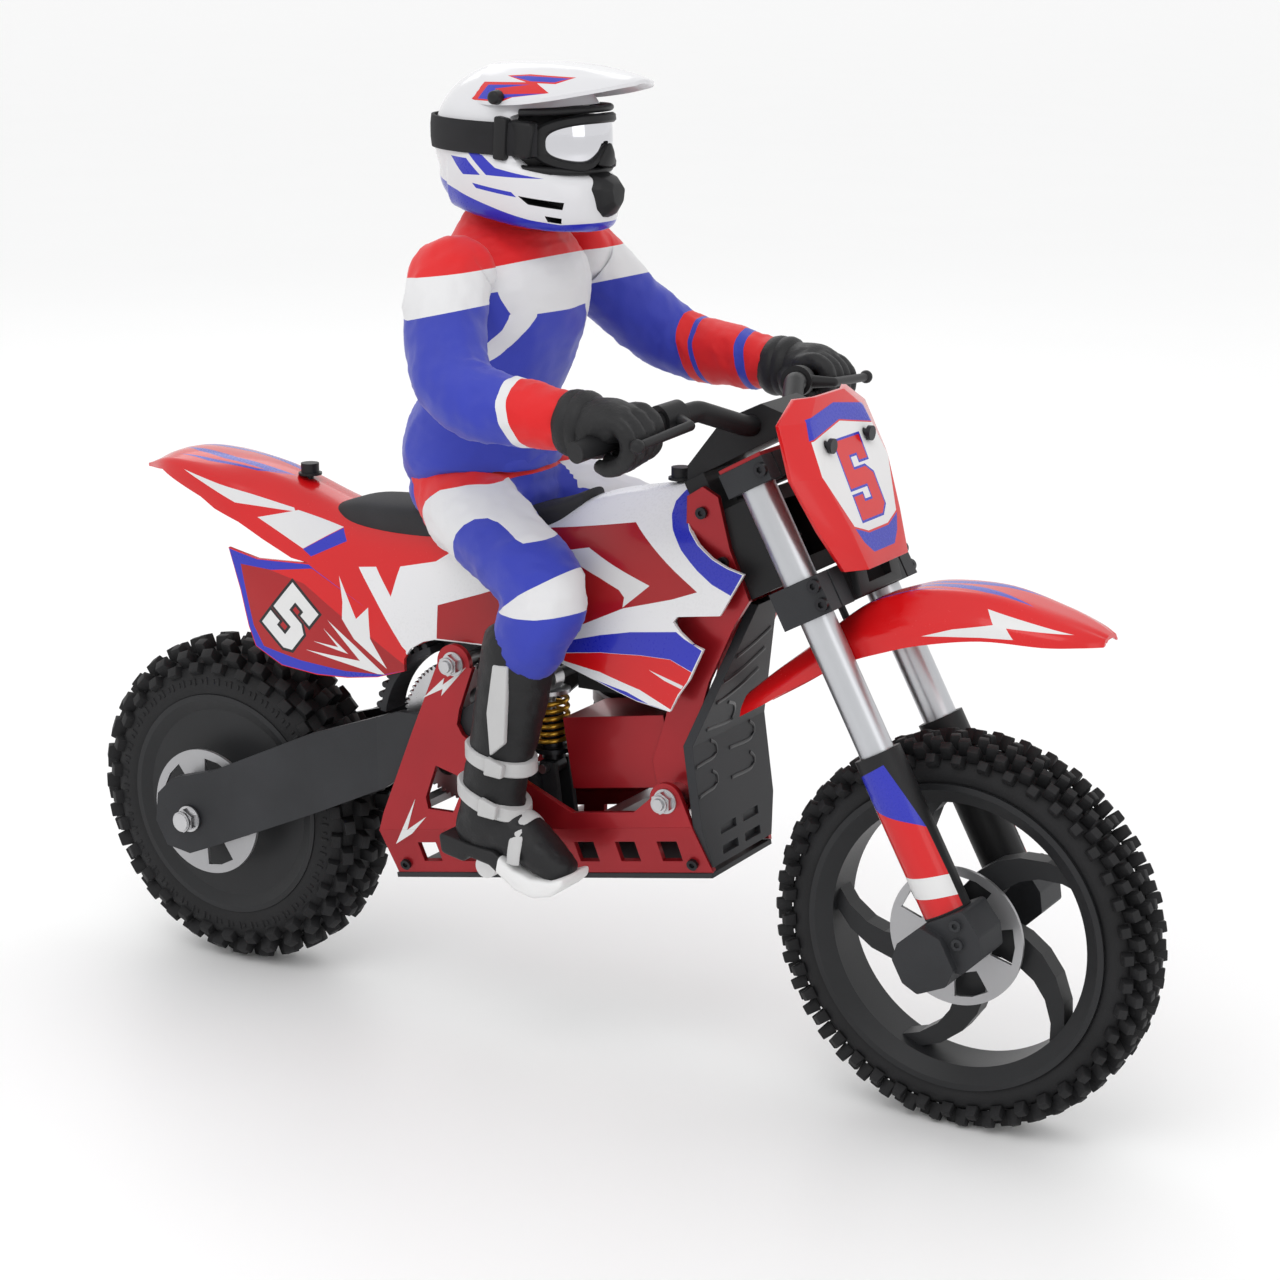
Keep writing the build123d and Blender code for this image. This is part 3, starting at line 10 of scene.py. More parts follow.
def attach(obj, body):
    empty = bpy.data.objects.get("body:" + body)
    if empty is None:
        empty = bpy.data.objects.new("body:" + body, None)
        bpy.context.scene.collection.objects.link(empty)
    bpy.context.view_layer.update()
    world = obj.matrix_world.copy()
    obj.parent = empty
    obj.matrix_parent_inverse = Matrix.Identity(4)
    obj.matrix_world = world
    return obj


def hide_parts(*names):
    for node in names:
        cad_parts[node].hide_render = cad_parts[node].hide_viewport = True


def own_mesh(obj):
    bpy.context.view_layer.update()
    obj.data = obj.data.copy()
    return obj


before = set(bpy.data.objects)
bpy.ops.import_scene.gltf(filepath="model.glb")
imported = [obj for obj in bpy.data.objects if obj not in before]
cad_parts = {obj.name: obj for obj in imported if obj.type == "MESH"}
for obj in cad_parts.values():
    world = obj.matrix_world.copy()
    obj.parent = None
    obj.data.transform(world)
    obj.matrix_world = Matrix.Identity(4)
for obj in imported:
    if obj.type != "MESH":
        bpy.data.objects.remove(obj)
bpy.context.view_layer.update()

# Lengths in this file are millimetres in the row frame; meshes are made in metres.
MM = 0.001

RAKE = math.radians(28.2)
FORK_UP = Vector((-math.sin(RAKE), 0, math.cos(RAKE)))
FORK_AHEAD = Vector((math.cos(RAKE), 0, math.sin(RAKE)))
STEER_FOOT = Vector((218.8, 0, 0))
FORK_OFFSET, FORK_Y, FORK_LEG_R = 15.0, 29.0, 9.5
FRONT_AXLE = (179.22, 79.98)
REAR_AXLE = (-182.75, 76.5)

RED = (0.60, 0.006, 0.008)
BLUE = (0.022, 0.028, 0.42)
WHITE = (0.74, 0.74, 0.75)
BLACK = (0.012, 0.012, 0.014)


def fork_point(ahead, y, along):
    return STEER_FOOT + FORK_AHEAD * ahead + FORK_UP * along + Vector((0, y, 0))


# ---------------------------------------------------------------- materials
def material(name, color, rough=0.5, metal=0.0, tint=0.10, patch=25.0, grain=1500.0, bump=0.06,
             coat=0.0, sheen=0.0, rough_spread=0.08, edge=0.0, stretch=(1, 1, 1)):
    """Principled surface with broad colour drift, fine grain and, where edge is set, softened edges."""
    made = bpy.data.materials.new(name)
    made.use_nodes = True
    tree = made.node_tree
    new, link = tree.nodes.new, tree.links.new
    shader = tree.nodes["Principled BSDF"]
    shader.inputs["Metallic"].default_value = metal
    shader.inputs["Specular IOR Level"].default_value = 0.5 if metal > 0.5 else 0.28
    shader.inputs["Coat Weight"].default_value = coat
    shader.inputs["Coat Roughness"].default_value = 0.08
    shader.inputs["Sheen Weight"].default_value = sheen
    place = new("ShaderNodeTexCoord")
    stretched = new("ShaderNodeMapping")
    stretched.inputs["Scale"].default_value = stretch
    link(place.outputs["Object"], stretched.inputs["Vector"])
    broad = new("ShaderNodeTexNoise")
    broad.inputs["Scale"].default_value = patch
    broad.inputs["Detail"].default_value = 5.0
    link(stretched.outputs["Vector"], broad.inputs["Vector"])
    ramp = new("ShaderNodeValToRGB")
    ramp.color_ramp.elements[0].position = 0.32
    ramp.color_ramp.elements[1].position = 0.70
    ramp.color_ramp.elements[0].color = (*[c * (1 - tint) for c in color], 1)
    ramp.color_ramp.elements[1].color = (*[min(1, c * (1 + tint)) for c in color], 1)
    link(broad.outputs["Fac"], ramp.inputs["Fac"])
    link(ramp.outputs["Color"], shader.inputs["Base Color"])
    fine = new("ShaderNodeTexNoise")
    fine.inputs["Scale"].default_value = grain
    fine.inputs["Detail"].default_value = 3.0
    link(stretched.outputs["Vector"], fine.inputs["Vector"])
    spread = new("ShaderNodeMapRange")
    spread.inputs["To Min"].default_value = max(0.03, rough - rough_spread)
    spread.inputs["To Max"].default_value = min(1.0, rough + rough_spread)
    mixed = new("ShaderNodeMath")
    mixed.operation = "ADD"
    mixed.use_clamp = True
    half = new("ShaderNodeMath")
    half.operation = "MULTIPLY"
    half.inputs[1].default_value = 0.5
    link(fine.outputs["Fac"], half.inputs[0])
    halved = new("ShaderNodeMath")
    halved.operation = "MULTIPLY"
    halved.inputs[1].default_value = 0.5
    link(broad.outputs["Fac"], halved.inputs[0])
    link(half.outputs[0], mixed.inputs[0])
    link(halved.outputs[0], mixed.inputs[1])
    link(mixed.outputs[0], spread.inputs["Value"])
    link(spread.outputs["Result"], shader.inputs["Roughness"])
    relief = new("ShaderNodeBump")
    relief.inputs["Strength"].default_value = bump
    relief.inputs["Distance"].default_value = 0.0004
    link(fine.outputs["Fac"], relief.inputs["Height"])
    if edge:
        softened = new("ShaderNodeBevel")
        softened.samples = 4
        softened.inputs["Radius"].default_value = edge * MM
        link(softened.outputs["Normal"], relief.inputs["Normal"])
    link(relief.outputs["Normal"], shader.inputs["Normal"])
    return made


PAINT = {
    "red_metal": material("anodised_red", (0.34, 0.008, 0.014), 0.34, 0.55, 0.10, 18, 2600, 0.05,
                          coat=0.25, edge=0.5),
    "red_gloss": material("gloss_red", RED, 0.25, 0, 0.05, 14, 900, 0.02, coat=0.35),
    "white_gloss": material("gloss_white", WHITE, 0.28, 0, 0.03, 14, 900, 0.02, coat=0.3),
    "blue_gloss": material("gloss_blue", BLUE, 0.28, 0, 0.08, 14, 900, 0.02, coat=0.3),
    "deep_gloss": material("gloss_deep_red", (0.34, 0.006, 0.009), 0.30, 0, 0.08, 14, 900, 0.02,
                           coat=0.3),
    "black_gloss": material("gloss_black", BLACK, 0.30, 0, 0.1, 14, 900, 0.02, coat=0.2),
    "print_white": material("print_white", (0.70, 0.70, 0.70), 0.38, 0, 0.03, 20, 1200, 0.03),
    "graphite": material("moulded_graphite", (0.026, 0.027, 0.030), 0.50, 0, 0.16, 30, 2200, 0.16,
                         edge=0.5),
    "dark": material("moulded_black", (0.011, 0.011, 0.012), 0.46, 0, 0.18, 35, 2000, 0.14,
                     edge=0.4),
    "chrome_tube": material("polished_tube", (0.50, 0.51, 0.53), 0.30, 0.9, 0.06, 20, 1400, 0.04,
                            stretch=(1, 1, 0.15), rough_spread=0.05),
    "steel": material("machined_steel", (0.52, 0.52, 0.53), 0.30, 1.0, 0.08, 60, 2600, 0.08,
                      edge=0.25),
    "black_steel": material("blackened_steel", (0.03, 0.03, 0.033), 0.36, 0.8, 0.15, 60, 2400,
                            0.1, edge=0.2),
    "disc": material("brushed_disc", (0.40, 0.40, 0.41), 0.38, 0.75, 0.05, 40, 2600, 0.06),
    "white_plastic": material("white_plastic", (0.78, 0.78, 0.78), 0.42, 0, 0.04, 30, 1500, 0.06),
    "gold": material("gold_spring_wire", (0.72, 0.40, 0.05), 0.30, 0.9, 0.1, 60, 2400, 0.05),
    "rubber": material("tyre_rubber", (0.011, 0.011, 0.012), 0.62, 0, 0.25, 45, 1600, 0.30,
                       rough_spread=0.14),
    "rim": material("rim_plastic", (0.017, 0.0175, 0.019), 0.42, 0, 0.15, 30, 2200, 0.10),
    "seat": material("seat_grip", (0.030, 0.030, 0.032), 0.72, 0, 0.14, 40, 1900, 0.30),
    "helmet": material("helmet_white", (0.66, 0.66, 0.68), 0.24, 0, 0.03, 14, 800, 0.02, coat=0.5),
    "strap": material("woven_strap", (0.016, 0.016, 0.018), 0.75, 0, 0.2, 40, 2400, 0.35,
                      stretch=(1, 1, 3)),
    "boot": material("boot_leather", (0.013, 0.013, 0.014), 0.46, 0, 0.2, 40, 900, 0.35),
    "boot_light": material("buckle_grey", (0.50, 0.50, 0.50), 0.40, 0, 0.06, 40, 1200, 0.10),
    "glove": material("glove_leather", (0.016, 0.016, 0.017), 0.50, 0, 0.2, 50, 1100, 0.40),
    "cloth_red": material("jersey_red", (0.66, 0.010, 0.012), 0.55, 0, 0.07, 16, 1500, 0.12,
                          sheen=0.15),
    "cloth_white": material("jersey_white", (0.70, 0.70, 0.71), 0.56, 0, 0.04, 16, 1500, 0.12,
                            sheen=0.1),
    "cloth_blue": material("jersey_blue", (0.030, 0.045, 0.40), 0.52, 0, 0.10, 16, 1500, 0.12,
                           sheen=0.15),
    "battery": material("battery_wrap", (0.03, 0.03, 0.034), 0.32, 0, 0.2, 30, 1200, 0.1, edge=0.6),
}


# ---------------------------------------------------------------- mesh helpers
def shade(obj, angle=35.0):
    obj.data.shade_smooth()
    obj.data.set_sharp_from_angle(angle=math.radians(angle))


def made_mesh(name, vertices, faces, paint, angle=35.0):
    data = bpy.data.meshes.new(name)
    data.from_pydata([tuple(c * MM for c in v) for v in vertices], [], faces)
    bm = bmesh.new()
    bm.from_mesh(data)
    bmesh.ops.recalc_face_normals(bm, faces=bm.faces)
    bm.to_mesh(data)
    bm.free()
    obj = bpy.data.objects.new(name, data)
    bpy.context.scene.collection.objects.link(obj)
    obj.data.materials.append(PAINT[paint] if isinstance(paint, str) else paint)
    shade(obj, angle)
    return obj


def settled(obj, angle=35.0):
    """Apply every modifier of a piece."""
    bpy.context.view_layer.update()
    graph = bpy.context.evaluated_depsgraph_get()
    data = bpy.data.meshes.new_from_object(obj.evaluated_get(graph))
    obj.modifiers.clear()
    obj.data = data
    shade(obj, angle)
    return obj


def rows_mesh(name, rows, paint, around=True, caps=True, angle=35.0):
    """Skin over rows of points."""
    count = len(rows[0])
    vertices = [p for row in rows for p in row]
    faces = []
    for r in range(len(rows) - 1):
        for c in range(count if around else count - 1):
            d = (c + 1) % count
            faces.append((r * count + c, r * count + d, (r + 1) * count + d, (r + 1) * count + c))
    if caps and around:
        faces.append(tuple(range(count - 1, -1, -1)))
        last = (len(rows) - 1) * count
        faces.append(tuple(range(last, last + count)))
    return made_mesh(name, vertices, faces, paint, angle)


def smooth_rows(stations, per):
    """Catmull-Rom through rows of numbers."""
    points = np.array(stations, float)
    padded = np.vstack([2 * points[0] - points[1], points, 2 * points[-1] - points[-2]])
    rows = []
    for i in range(len(points) - 1):
        p0, p1, p2, p3 = padded[i:i + 4]
        for k in range(per):
            t = k / per
            rows.append(0.5 * (2 * p1 + (p2 - p0) * t + (2 * p0 - 5 * p1 + 4 * p2 - p3) * t * t
                               + (3 * p1 - p0 - 3 * p2 + p3) * t ** 3))
    rows.append(points[-1])
    return np.array(rows)


def tube_rows(stations, per=8, segments=40, side=(0, 1, 0), square=2.0, rounded=True):
    """Rings along a path; a station is x, y, z, radius along side, radius across it."""
    rows = smooth_rows(stations, per)
    side = Vector(side)
    rings = []
    for i, row in enumerate(rows):
        before, after = rows[max(0, i - 1)], rows[min(len(rows) - 1, i + 1)]
        tangent = Vector(after[:3] - before[:3]).normalized()
        across = (side - tangent * side.dot(tangent)).normalized()
        other = tangent.cross(across)
        ring = []
        for k in range(segments):
            a = 2 * math.pi * k / segments
            c, s = math.cos(a), math.sin(a)
            c = math.copysign(abs(c) ** (2 / square), c)
            s = math.copysign(abs(s) ** (2 / square), s)
            ring.append(Vector(row[:3]) + across * (row[3] * c) + other * (row[4] * s))
        rings.append((ring, tangent, Vector(row[:3]), min(row[3], row[4])))
    if rounded:
        for end, sign in ((0, -1), (-1, 1)):
            ring, tangent, centre, radius = rings[end]
            extra = []
            for k in range(1, 6):
                a = math.pi / 2 * k / 5.3
                shift = tangent * (sign * radius * 0.55 * math.sin(a))
                extra.append(([centre + (p - centre) * math.cos(a) + shift for p in ring], tangent,
                              centre, radius))
            rings = extra[::-1] + rings if end == 0 else rings + extra
    return [r[0] for r in rings]


def tube(name, stations, paint, per=8, segments=40, side=(0, 1, 0), square=2.0, rounded=True,
         angle=60.0):
    rings = tube_rows(stations, per, segments, side, square, rounded)
    return rows_mesh(name, rings, paint, angle=angle)


def prism(name, outline, low, high, paint="dark", plane="xz", rim=0.0, angle=30.0):
    """Flat outline pushed through from low to high along the third axis, with rounded edges."""
    def at(p, h):
        return {"xz": (p[0], h, p[1]), "xy": (p[0], p[1], h), "yz": (h, p[0], p[1])}[plane]
    n = len(outline)
    vertices = [at(p, low) for p in outline] + [at(p, high) for p in outline]
    faces = [tuple(range(n)), tuple(range(2 * n - 1, n - 1, -1))]
    faces += [(i, (i + 1) % n, n + (i + 1) % n, n + i) for i in range(n)]
    obj = made_mesh(name, vertices, faces, paint, angle)
    if rim:
        bevel = obj.modifiers.new("rim", "BEVEL")
        bevel.width, bevel.segments, bevel.limit_method = rim * MM, 3, "ANGLE"
        bevel.angle_limit = math.radians(25)
        settled(obj, angle)
    return obj


def cut(obj, cutter, how="DIFFERENCE", angle=35.0):
    """Boolean with a throwaway piece."""
    step = obj.modifiers.new("cut", "BOOLEAN")
    step.operation, step.object, step.solver = how, cutter, "EXACT"
    settled(obj, angle)
    bpy.data.objects.remove(cutter)
    return obj


def mirrored(obj, name):
    """A copy on the bike's other side."""
    data = obj.data.copy()
    data.transform(Matrix.Scale(-1, 4, (0, 1, 0)))
    data.flip_normals()
    twin = bpy.data.objects.new(name, data)
    bpy.context.scene.collection.objects.link(twin)
    return twin


def joined(name, pieces):
    """One object out of several that share a frame, keeping their materials."""
    bm = bmesh.new()
    paints = []
    for piece in pieces:
        part = bmesh.new()
        part.from_mesh(piece.data)
        slots = []
        for paint in piece.data.materials:
            if paint not in paints:
                paints.append(paint)
            slots.append(paints.index(paint))
        for face in part.faces:
            face.material_index = slots[face.material_index] if slots else 0
        data = bpy.data.meshes.new("part")
        part.to_mesh(data)
        part.free()
        bm.from_mesh(data)
        bpy.data.meshes.remove(data)
        bpy.data.objects.remove(piece)
    data = bpy.data.meshes.new(name)
    bm.to_mesh(data)
    bm.free()
    for paint in paints:
        data.materials.append(paint)
    obj = bpy.data.objects.new(name, data)
    bpy.context.scene.collection.objects.link(obj)
    return obj


def inside(outline, u, v):
    """Whether a point is inside a flat outline."""
    found = False
    for i, (x1, y1) in enumerate(outline):
        x2, y2 = outline[i - 1]
        if (y1 > v) != (y2 > v) and u < (x2 - x1) * (v - y1) / (y2 - y1) + x1:
            found = not found
    return found


def repaint(obj, outlines, paint, plane="xz", where=None):
    """Give the faces inside flat outlines, pushed through the piece, another material.

    Faces are first cut along the outlines, so that the colours meet in clean lines.
    """
    a, b = "xyz".index(plane[0]), "xyz".index(plane[1])
    if PAINT[paint].name not in [m.name for m in obj.data.materials]:
        obj.data.materials.append(PAINT[paint])
    index = [m.name for m in obj.data.materials].index(PAINT[paint].name)
    bm = bmesh.new()
    bm.from_mesh(obj.data)
    bmesh.ops.scale(bm, vec=(1 / MM,) * 3, verts=bm.verts)
    bm.normal_update()
    for outline in outlines:
        low = [min(p[i] for p in outline) for i in (0, 1)]
        high = [max(p[i] for p in outline) for i in (0, 1)]

        def near(faces, low, high):
            kept = []
            for face in faces:
                us = [v.co[a] for v in face.verts]
                vs = [v.co[b] for v in face.verts]
                if (min(us) <= high[0] and max(us) >= low[0] and min(vs) <= high[1]
                        and max(vs) >= low[1] and (where is None or where(face))):
                    kept.append(face)
            return kept

        region = near(bm.faces, low, high)
        for i, q in enumerate(outline):
            p = outline[i - 1]
            edge_low = [min(p[k], q[k]) - 0.01 for k in (0, 1)]
            edge_high = [max(p[k], q[k]) + 0.01 for k in (0, 1)]
            faces = near([f for f in region if f.is_valid], edge_low, edge_high)
            if not faces:
                continue
            co, no = Vector((0, 0, 0)), Vector((0, 0, 0))
            co[a], co[b] = p
            no[a], no[b] = q[1] - p[1], p[0] - q[0]
            if no.length < 1e-9:
                continue
            parts = list(dict.fromkeys([v for f in faces for v in f.verts]))
            parts += list(dict.fromkeys([e for f in faces for e in f.edges])) + faces
            bmesh.ops.bisect_plane(bm, geom=parts, plane_co=co, plane_no=no.normalized(), dist=1e-4)
            region = near(bm.faces, low, high)
        for face in region:
            middle = face.calc_center_median()
            if inside(outline, middle[a], middle[b]):
                face.material_index = index
    bmesh.ops.scale(bm, vec=(MM,) * 3, verts=bm.verts)
    bm.to_mesh(obj.data)
    bm.free()
    obj.data.update()
    return obj


def outward(sign=0):
    """Faces on the outside of a shell, on one side of the bike if sign is set."""
    def test(face):
        middle = face.calc_center_median()
        if sign and middle.y * sign < 0:
            return False
        return face.normal.y * middle.y > 0 or face.normal.z > 0.3 or face.normal.x > 0.6
    return test


def fused(name, pieces, voxel, smooth=3, paint=None):
    """Several overlapping closed pieces made into one skin."""
    whole = joined(name, pieces)
    step = whole.modifiers.new("skin", "REMESH")
    step.mode, step.voxel_size, step.adaptivity = "VOXEL", voxel * MM, 0.0
    soft = whole.modifiers.new("soft", "SMOOTH")
    soft.factor, soft.iterations = 0.5, smooth
    settled(whole, 80)
    whole.data.materials.clear()
    whole.data.materials.append(PAINT[paint])
    return whole


def creased(obj, amount, scale, stretch=(1, 1, 1), seed=0.0):
    """Gentle folds: points pushed along their normals by smooth noise."""
    normals = [v.normal.copy() for v in obj.data.vertices]
    for vertex, normal in zip(obj.data.vertices, normals):
        p = vertex.co / MM
        q = Vector((p.x * stretch[0], p.y * stretch[1], p.z * stretch[2])) / scale
        value = noise.noise(q + Vector((seed, seed, seed)))
        ridge = 1 - 2 * abs(noise.noise(q * 1.7 + Vector((seed + 9, 3, 5))))
        vertex.co += normal * ((value * 0.6 + (ridge - 0.6) * 0.5) * amount * MM)
    obj.data.update()
    return obj


def grown(outline, amount):
    """Outline moved outward by amount, with mitred corners."""
    area = sum(outline[i][0] * outline[(i + 1) % len(outline)][1]
               - outline[(i + 1) % len(outline)][0] * outline[i][1] for i in range(len(outline)))
    turn = 1 if area > 0 else -1
    moved = []
    for i, p in enumerate(outline):
        a, b = Vector(outline[i - 1]), Vector(outline[(i + 1) % len(outline)])
        p = Vector(p)
        n1 = Vector(((p - a).y, -(p - a).x)).normalized() * turn
        n2 = Vector(((b - p).y, -(b - p).x)).normalized() * turn
        bisector = n1 + n2
        if bisector.length < 1e-6:
            moved.append(tuple(p + n1 * amount))
            continue
        bisector.normalize()
        moved.append(tuple(p + bisector * (amount / max(0.45, bisector.dot(n1)))))
    return moved


FIVE = [(0, 1.6), (0.98, 1.6), (0.98, 1.12), (0.66, 1.12), (0.66, 1.27), (0.36, 1.27), (0.36, 0.97),
        (0.80, 0.97), (1.0, 0.80), (1.0, 0.17), (0.80, 0), (0, 0), (0, 0.48), (0.34, 0.48),
        (0.34, 0.33), (0.64, 0.33), (0.64, 0.64), (0, 0.64)]


def digit(centre, width, height, turn=0.0, flip=False):
    c, s = math.cos(math.radians(turn)), math.sin(math.radians(turn))
    out = []
    for u, v in FIVE:
        x, y = (u - 0.5) * width, (v / 1.6 - 0.5) * height
        x = -x if flip else x
        out.append((centre[0] + x * c - y * s, centre[1] + x * s + y * c))
    return out


def lathe(name, outline, axle, paint, segments=128, angle=30.0):
    """Turn an outline of (radius, y) points about a wheel axle."""
    rows = []
    for radius, y in outline:
        rows.append([(axle[0] + radius * math.cos(2 * math.pi * k / segments), y,
                      axle[1] + radius * math.sin(2 * math.pi * k / segments))
                     for k in range(segments)])
    rows.append(rows[0])
    return rows_mesh(name, rows, paint, caps=False, angle=angle)


def take(obj, body, slot_name, *nodes):
    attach(obj, body)
    if nodes:
        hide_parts(*nodes)
    return obj


# ---------------------------------------------------------------- CAD nodes that stay
SLOT_PAINT = {
    "grey_plastic": "graphite", "dark_plastic": "dark", "white_plastic": "white_plastic",
    "battery_wrap": "battery", "red_metal": "red_metal", "body_plastic": "red_gloss",
    "fender_plastic": "red_gloss", "number_plate": "red_gloss", "steel": "steel",
    "chain_steel": "black_steel", "motor_steel": "black_steel", "screw_steel": "black_steel",
    "silver_tube": "chrome_tube", "fork_leg_plastic": "dark", "disc_steel": "disc",
    "gear_steel": "steel", "flywheel_steel": "steel", "dark_metal": "black_steel",
    "gold_spring": "gold", "tyre": "rubber", "seat_pad": "seat", "helmet_shell": "helmet",
    "mirror_lens": "mirror", "jersey": "cloth_blue", "trousers": "cloth_blue", "boot": "boot",
    "glove": "glove",
}
PAINT["mirror"] = material("mirror_lens", (0.66, 0.66, 0.69), 0.07, 1.0, 0.04, 14, 400, 0.01,
                           rough_spread=0.03)
NODE_PAINT = {"front_rim": "rim", "rear_rim": "rim", "fork_tubes": "chrome_tube"}
for node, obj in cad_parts.items():
    for place in obj.material_slots:
        base = place.material.name.split(".")[0] if place.material else "dark_plastic"
        place.material = PAINT[NODE_PAINT.get(node) or SLOT_PAINT.get(base, "dark")]


# ---------------------------------------------------------------- tyres
def block(rows, centre, axes, size, top=0.78):
    """A tread block: a tapered box, given as 8 corners from its middle, axes and size."""
    u, v, n = axes
    corners = []
    for h, k in ((-1, 1.0), (1, top)):
        for a, b in ((-1, -1), (1, -1), (1, 1), (-1, 1)):
            corners.append(centre + u * (a * size[0] * k / 2) + v * (b * size[1] * k / 2)
                           + n * (h * size[2] / 2))
    base = len(rows[0])
    rows[0] += corners
    for f in ((3, 2, 1, 0), (4, 5, 6, 7), (0, 1, 5, 4), (1, 2, 6, 5), (2, 3, 7, 6), (3, 0, 4, 7)):
        rows[1].append(tuple(base + i for i in f))


def tread(name, axle, rows_of_blocks, count):
    """Blocks round a tyre: each is (turn, radius, y, lean, length, width, height, twist)."""
    data = [[], []]
    for k in range(count):
        for turn, radius, y, lean, length, width, height, twist in rows_of_blocks:
            a = 2 * math.pi * (k + turn) / count
            radial = Vector((math.cos(a), 0, math.sin(a)))
            round_wheel = Vector((-math.sin(a), 0, math.cos(a)))
            side = Vector((0, 1, 0))
            for sign in (-1, 1) if y else (1,):
                out = (radial * math.cos(lean) + side * (sign * math.sin(lean))).normalized()
                wide = (side * math.cos(lean) - radial * (sign * math.sin(lean))).normalized()
                along = (round_wheel * math.cos(twist) + wide * (sign * math.sin(twist)))
                wide = (wide * math.cos(twist) - round_wheel * (sign * math.sin(twist)))
                centre = Vector((axle[0], 0, axle[1])) + radial * radius + side * (sign * y)
                block(data, centre, (along, wide, out), (length, width, height))
    obj = made_mesh(name, data[0], data[1], "rubber", 30)
    bevel = obj.modifiers.new("worn", "BEVEL")
    bevel.width, bevel.segments = 0.35 * MM, 2
    settled(obj, 30)
    return obj


def tyre_skin(name, axle, outline):
    """Carcass turned from an outline on one side of the middle."""
    half = smooth_rows([(r, y) for r, y in outline], 6)
    full = [(r, -y) for r, y in half[::-1]] + [(r, y) for r, y in half[1:]]
    inner = [(full[-1][0], full[-1][1] - 1.6), (full[0][0], full[0][1] + 1.6)]
    return lathe(name, full + inner, axle, "rubber", 180)


front_skin = tyre_skin("front_tyre_carcass", FRONT_AXLE,
                       [(74.6, 0.0), (74.2, 4.2), (73.0, 8.6), (70.6, 11.8), (67.2, 13.2),
                        (64.2, 12.9), (62.6, 12.2), (62.3, 11.2)])
front_blocks = tread("front_tyre_blocks", FRONT_AXLE, [
    (0.00, 77.2, 2.6, 0.08, 4.8, 4.2, 6.2, 0.25),
    (0.50, 77.0, 7.0, 0.32, 5.2, 4.0, 6.2, 0.20),
    (0.00, 75.9, 11.0, 0.62, 5.4, 4.2, 6.2, 0.10),
    (0.50, 72.6, 13.6, 0.95, 5.0, 4.6, 4.6, 0.0),
], 42)
front_marks = tread("front_tyre_sidewall", FRONT_AXLE, [
    (0.0, 68.4, 12.1, 1.35, 1.2, 3.0, 0.9, 0.0), (0.35, 68.4, 12.1, 1.35, 1.2, 2.0, 0.9, 0.0)],
    64)
front_tyre = take(joined("front_tyre_knobbly", [front_skin, front_blocks, front_marks]),
                  "front_wheel", "tyre", "front_tyre")
shade(front_tyre, 30)

rear_skin = tyre_skin("rear_tyre_carcass", REAR_AXLE,
                      [(70.2, 0.0), (69.6, 5.0), (67.3, 10.5), (63.6, 15.0), (59.8, 17.0),
                       (55.0, 17.4), (51.6, 16.6), (50.8, 15.2)])
rear_blocks = tread("rear_tyre_blocks", REAR_AXLE, [
    (0.00, 73.0, 3.1, 0.08, 6.8, 5.2, 6.6, 0.20),
    (0.50, 71.8, 8.3, 0.40, 7.4, 5.4, 6.8, -0.15),
    (0.00, 68.4, 13.6, 0.75, 7.6, 5.8, 6.6, 0.10),
    (0.50, 63.8, 16.6, 1.05, 6.8, 5.6, 4.4, 0.0),
], 30)
rear_marks = tread("rear_tyre_sidewall", REAR_AXLE, [
    (0.0, 57.8, 17.3, 1.5, 1.4, 4.0, 1.0, 0.0), (0.4, 57.8, 17.3, 1.5, 1.4, 2.6, 1.0, 0.0)],
    52)
rear_tyre = take(joined("rear_tyre_knobbly", [rear_skin, rear_blocks, rear_marks]),
                 "rear_wheel", "tyre", "rear_tyre")
shade(rear_tyre, 30)


# ---------------------------------------------------------------- bodywork
SHELL = [  # x, ridge, y_top, z_top, y_side, z_side, y_low, z_low
    (-226, 230, 6, 229, 8, 227.5, 8, 222), (-205, 238, 15, 236, 20, 231, 21, 216),
    (-176, 237, 14, 235, 24, 227, 27, 150), (-150, 232.5, 13, 230, 25, 213, 31, 148),
    (-118, 223, 13, 220, 26, 202, 31.5, 148), (-90, 219, 14, 216.5, 25, 200, 30, 148),
    (-50, 221, 14, 218.5, 24, 202, 26.5, 148), (-10, 228, 13, 225, 24, 207, 27, 148),
    (12, 239, 12, 235, 26, 212, 30, 148), (38, 245.5, 11, 241, 28, 217, 32, 148),
    (92, 254, 10, 250, 25, 224, 29, 148)]
SHELL_SIDE = [
    (-230, 262), (-230, 228), (-226, 228), (-209, 230), (-183, 221), (-175, 216.7),
    (-161, 212.3), (-147.5, 206.2), (-131.4, 199.8), (-122, 198.6), (-149.8, 197.6),
    (-166.4, 200.6), (-158.8, 182.6), (-154, 167.3), (-149.9, 158.8), (-135.2, 152.2),
    (-116, 150.5), (-100, 151.1), (-85, 153.2), (-71.8, 157.3), (-72, 162.5), (-69, 167.4),
    (-62.6, 171.3), (-57, 172.8), (-10, 174), (7.5, 172.1), (26.7, 167.5), (45.7, 161.8),
    (60.6, 159.4), (64.3, 166.6), (69, 173.5), (74.8, 186.6), (70.2, 188.1), (64.2, 192.6),
    (61, 196.3), (62.8, 198.6), (81.5, 201), (86.3, 209.7), (91.6, 219.2), (91.6, 262)]


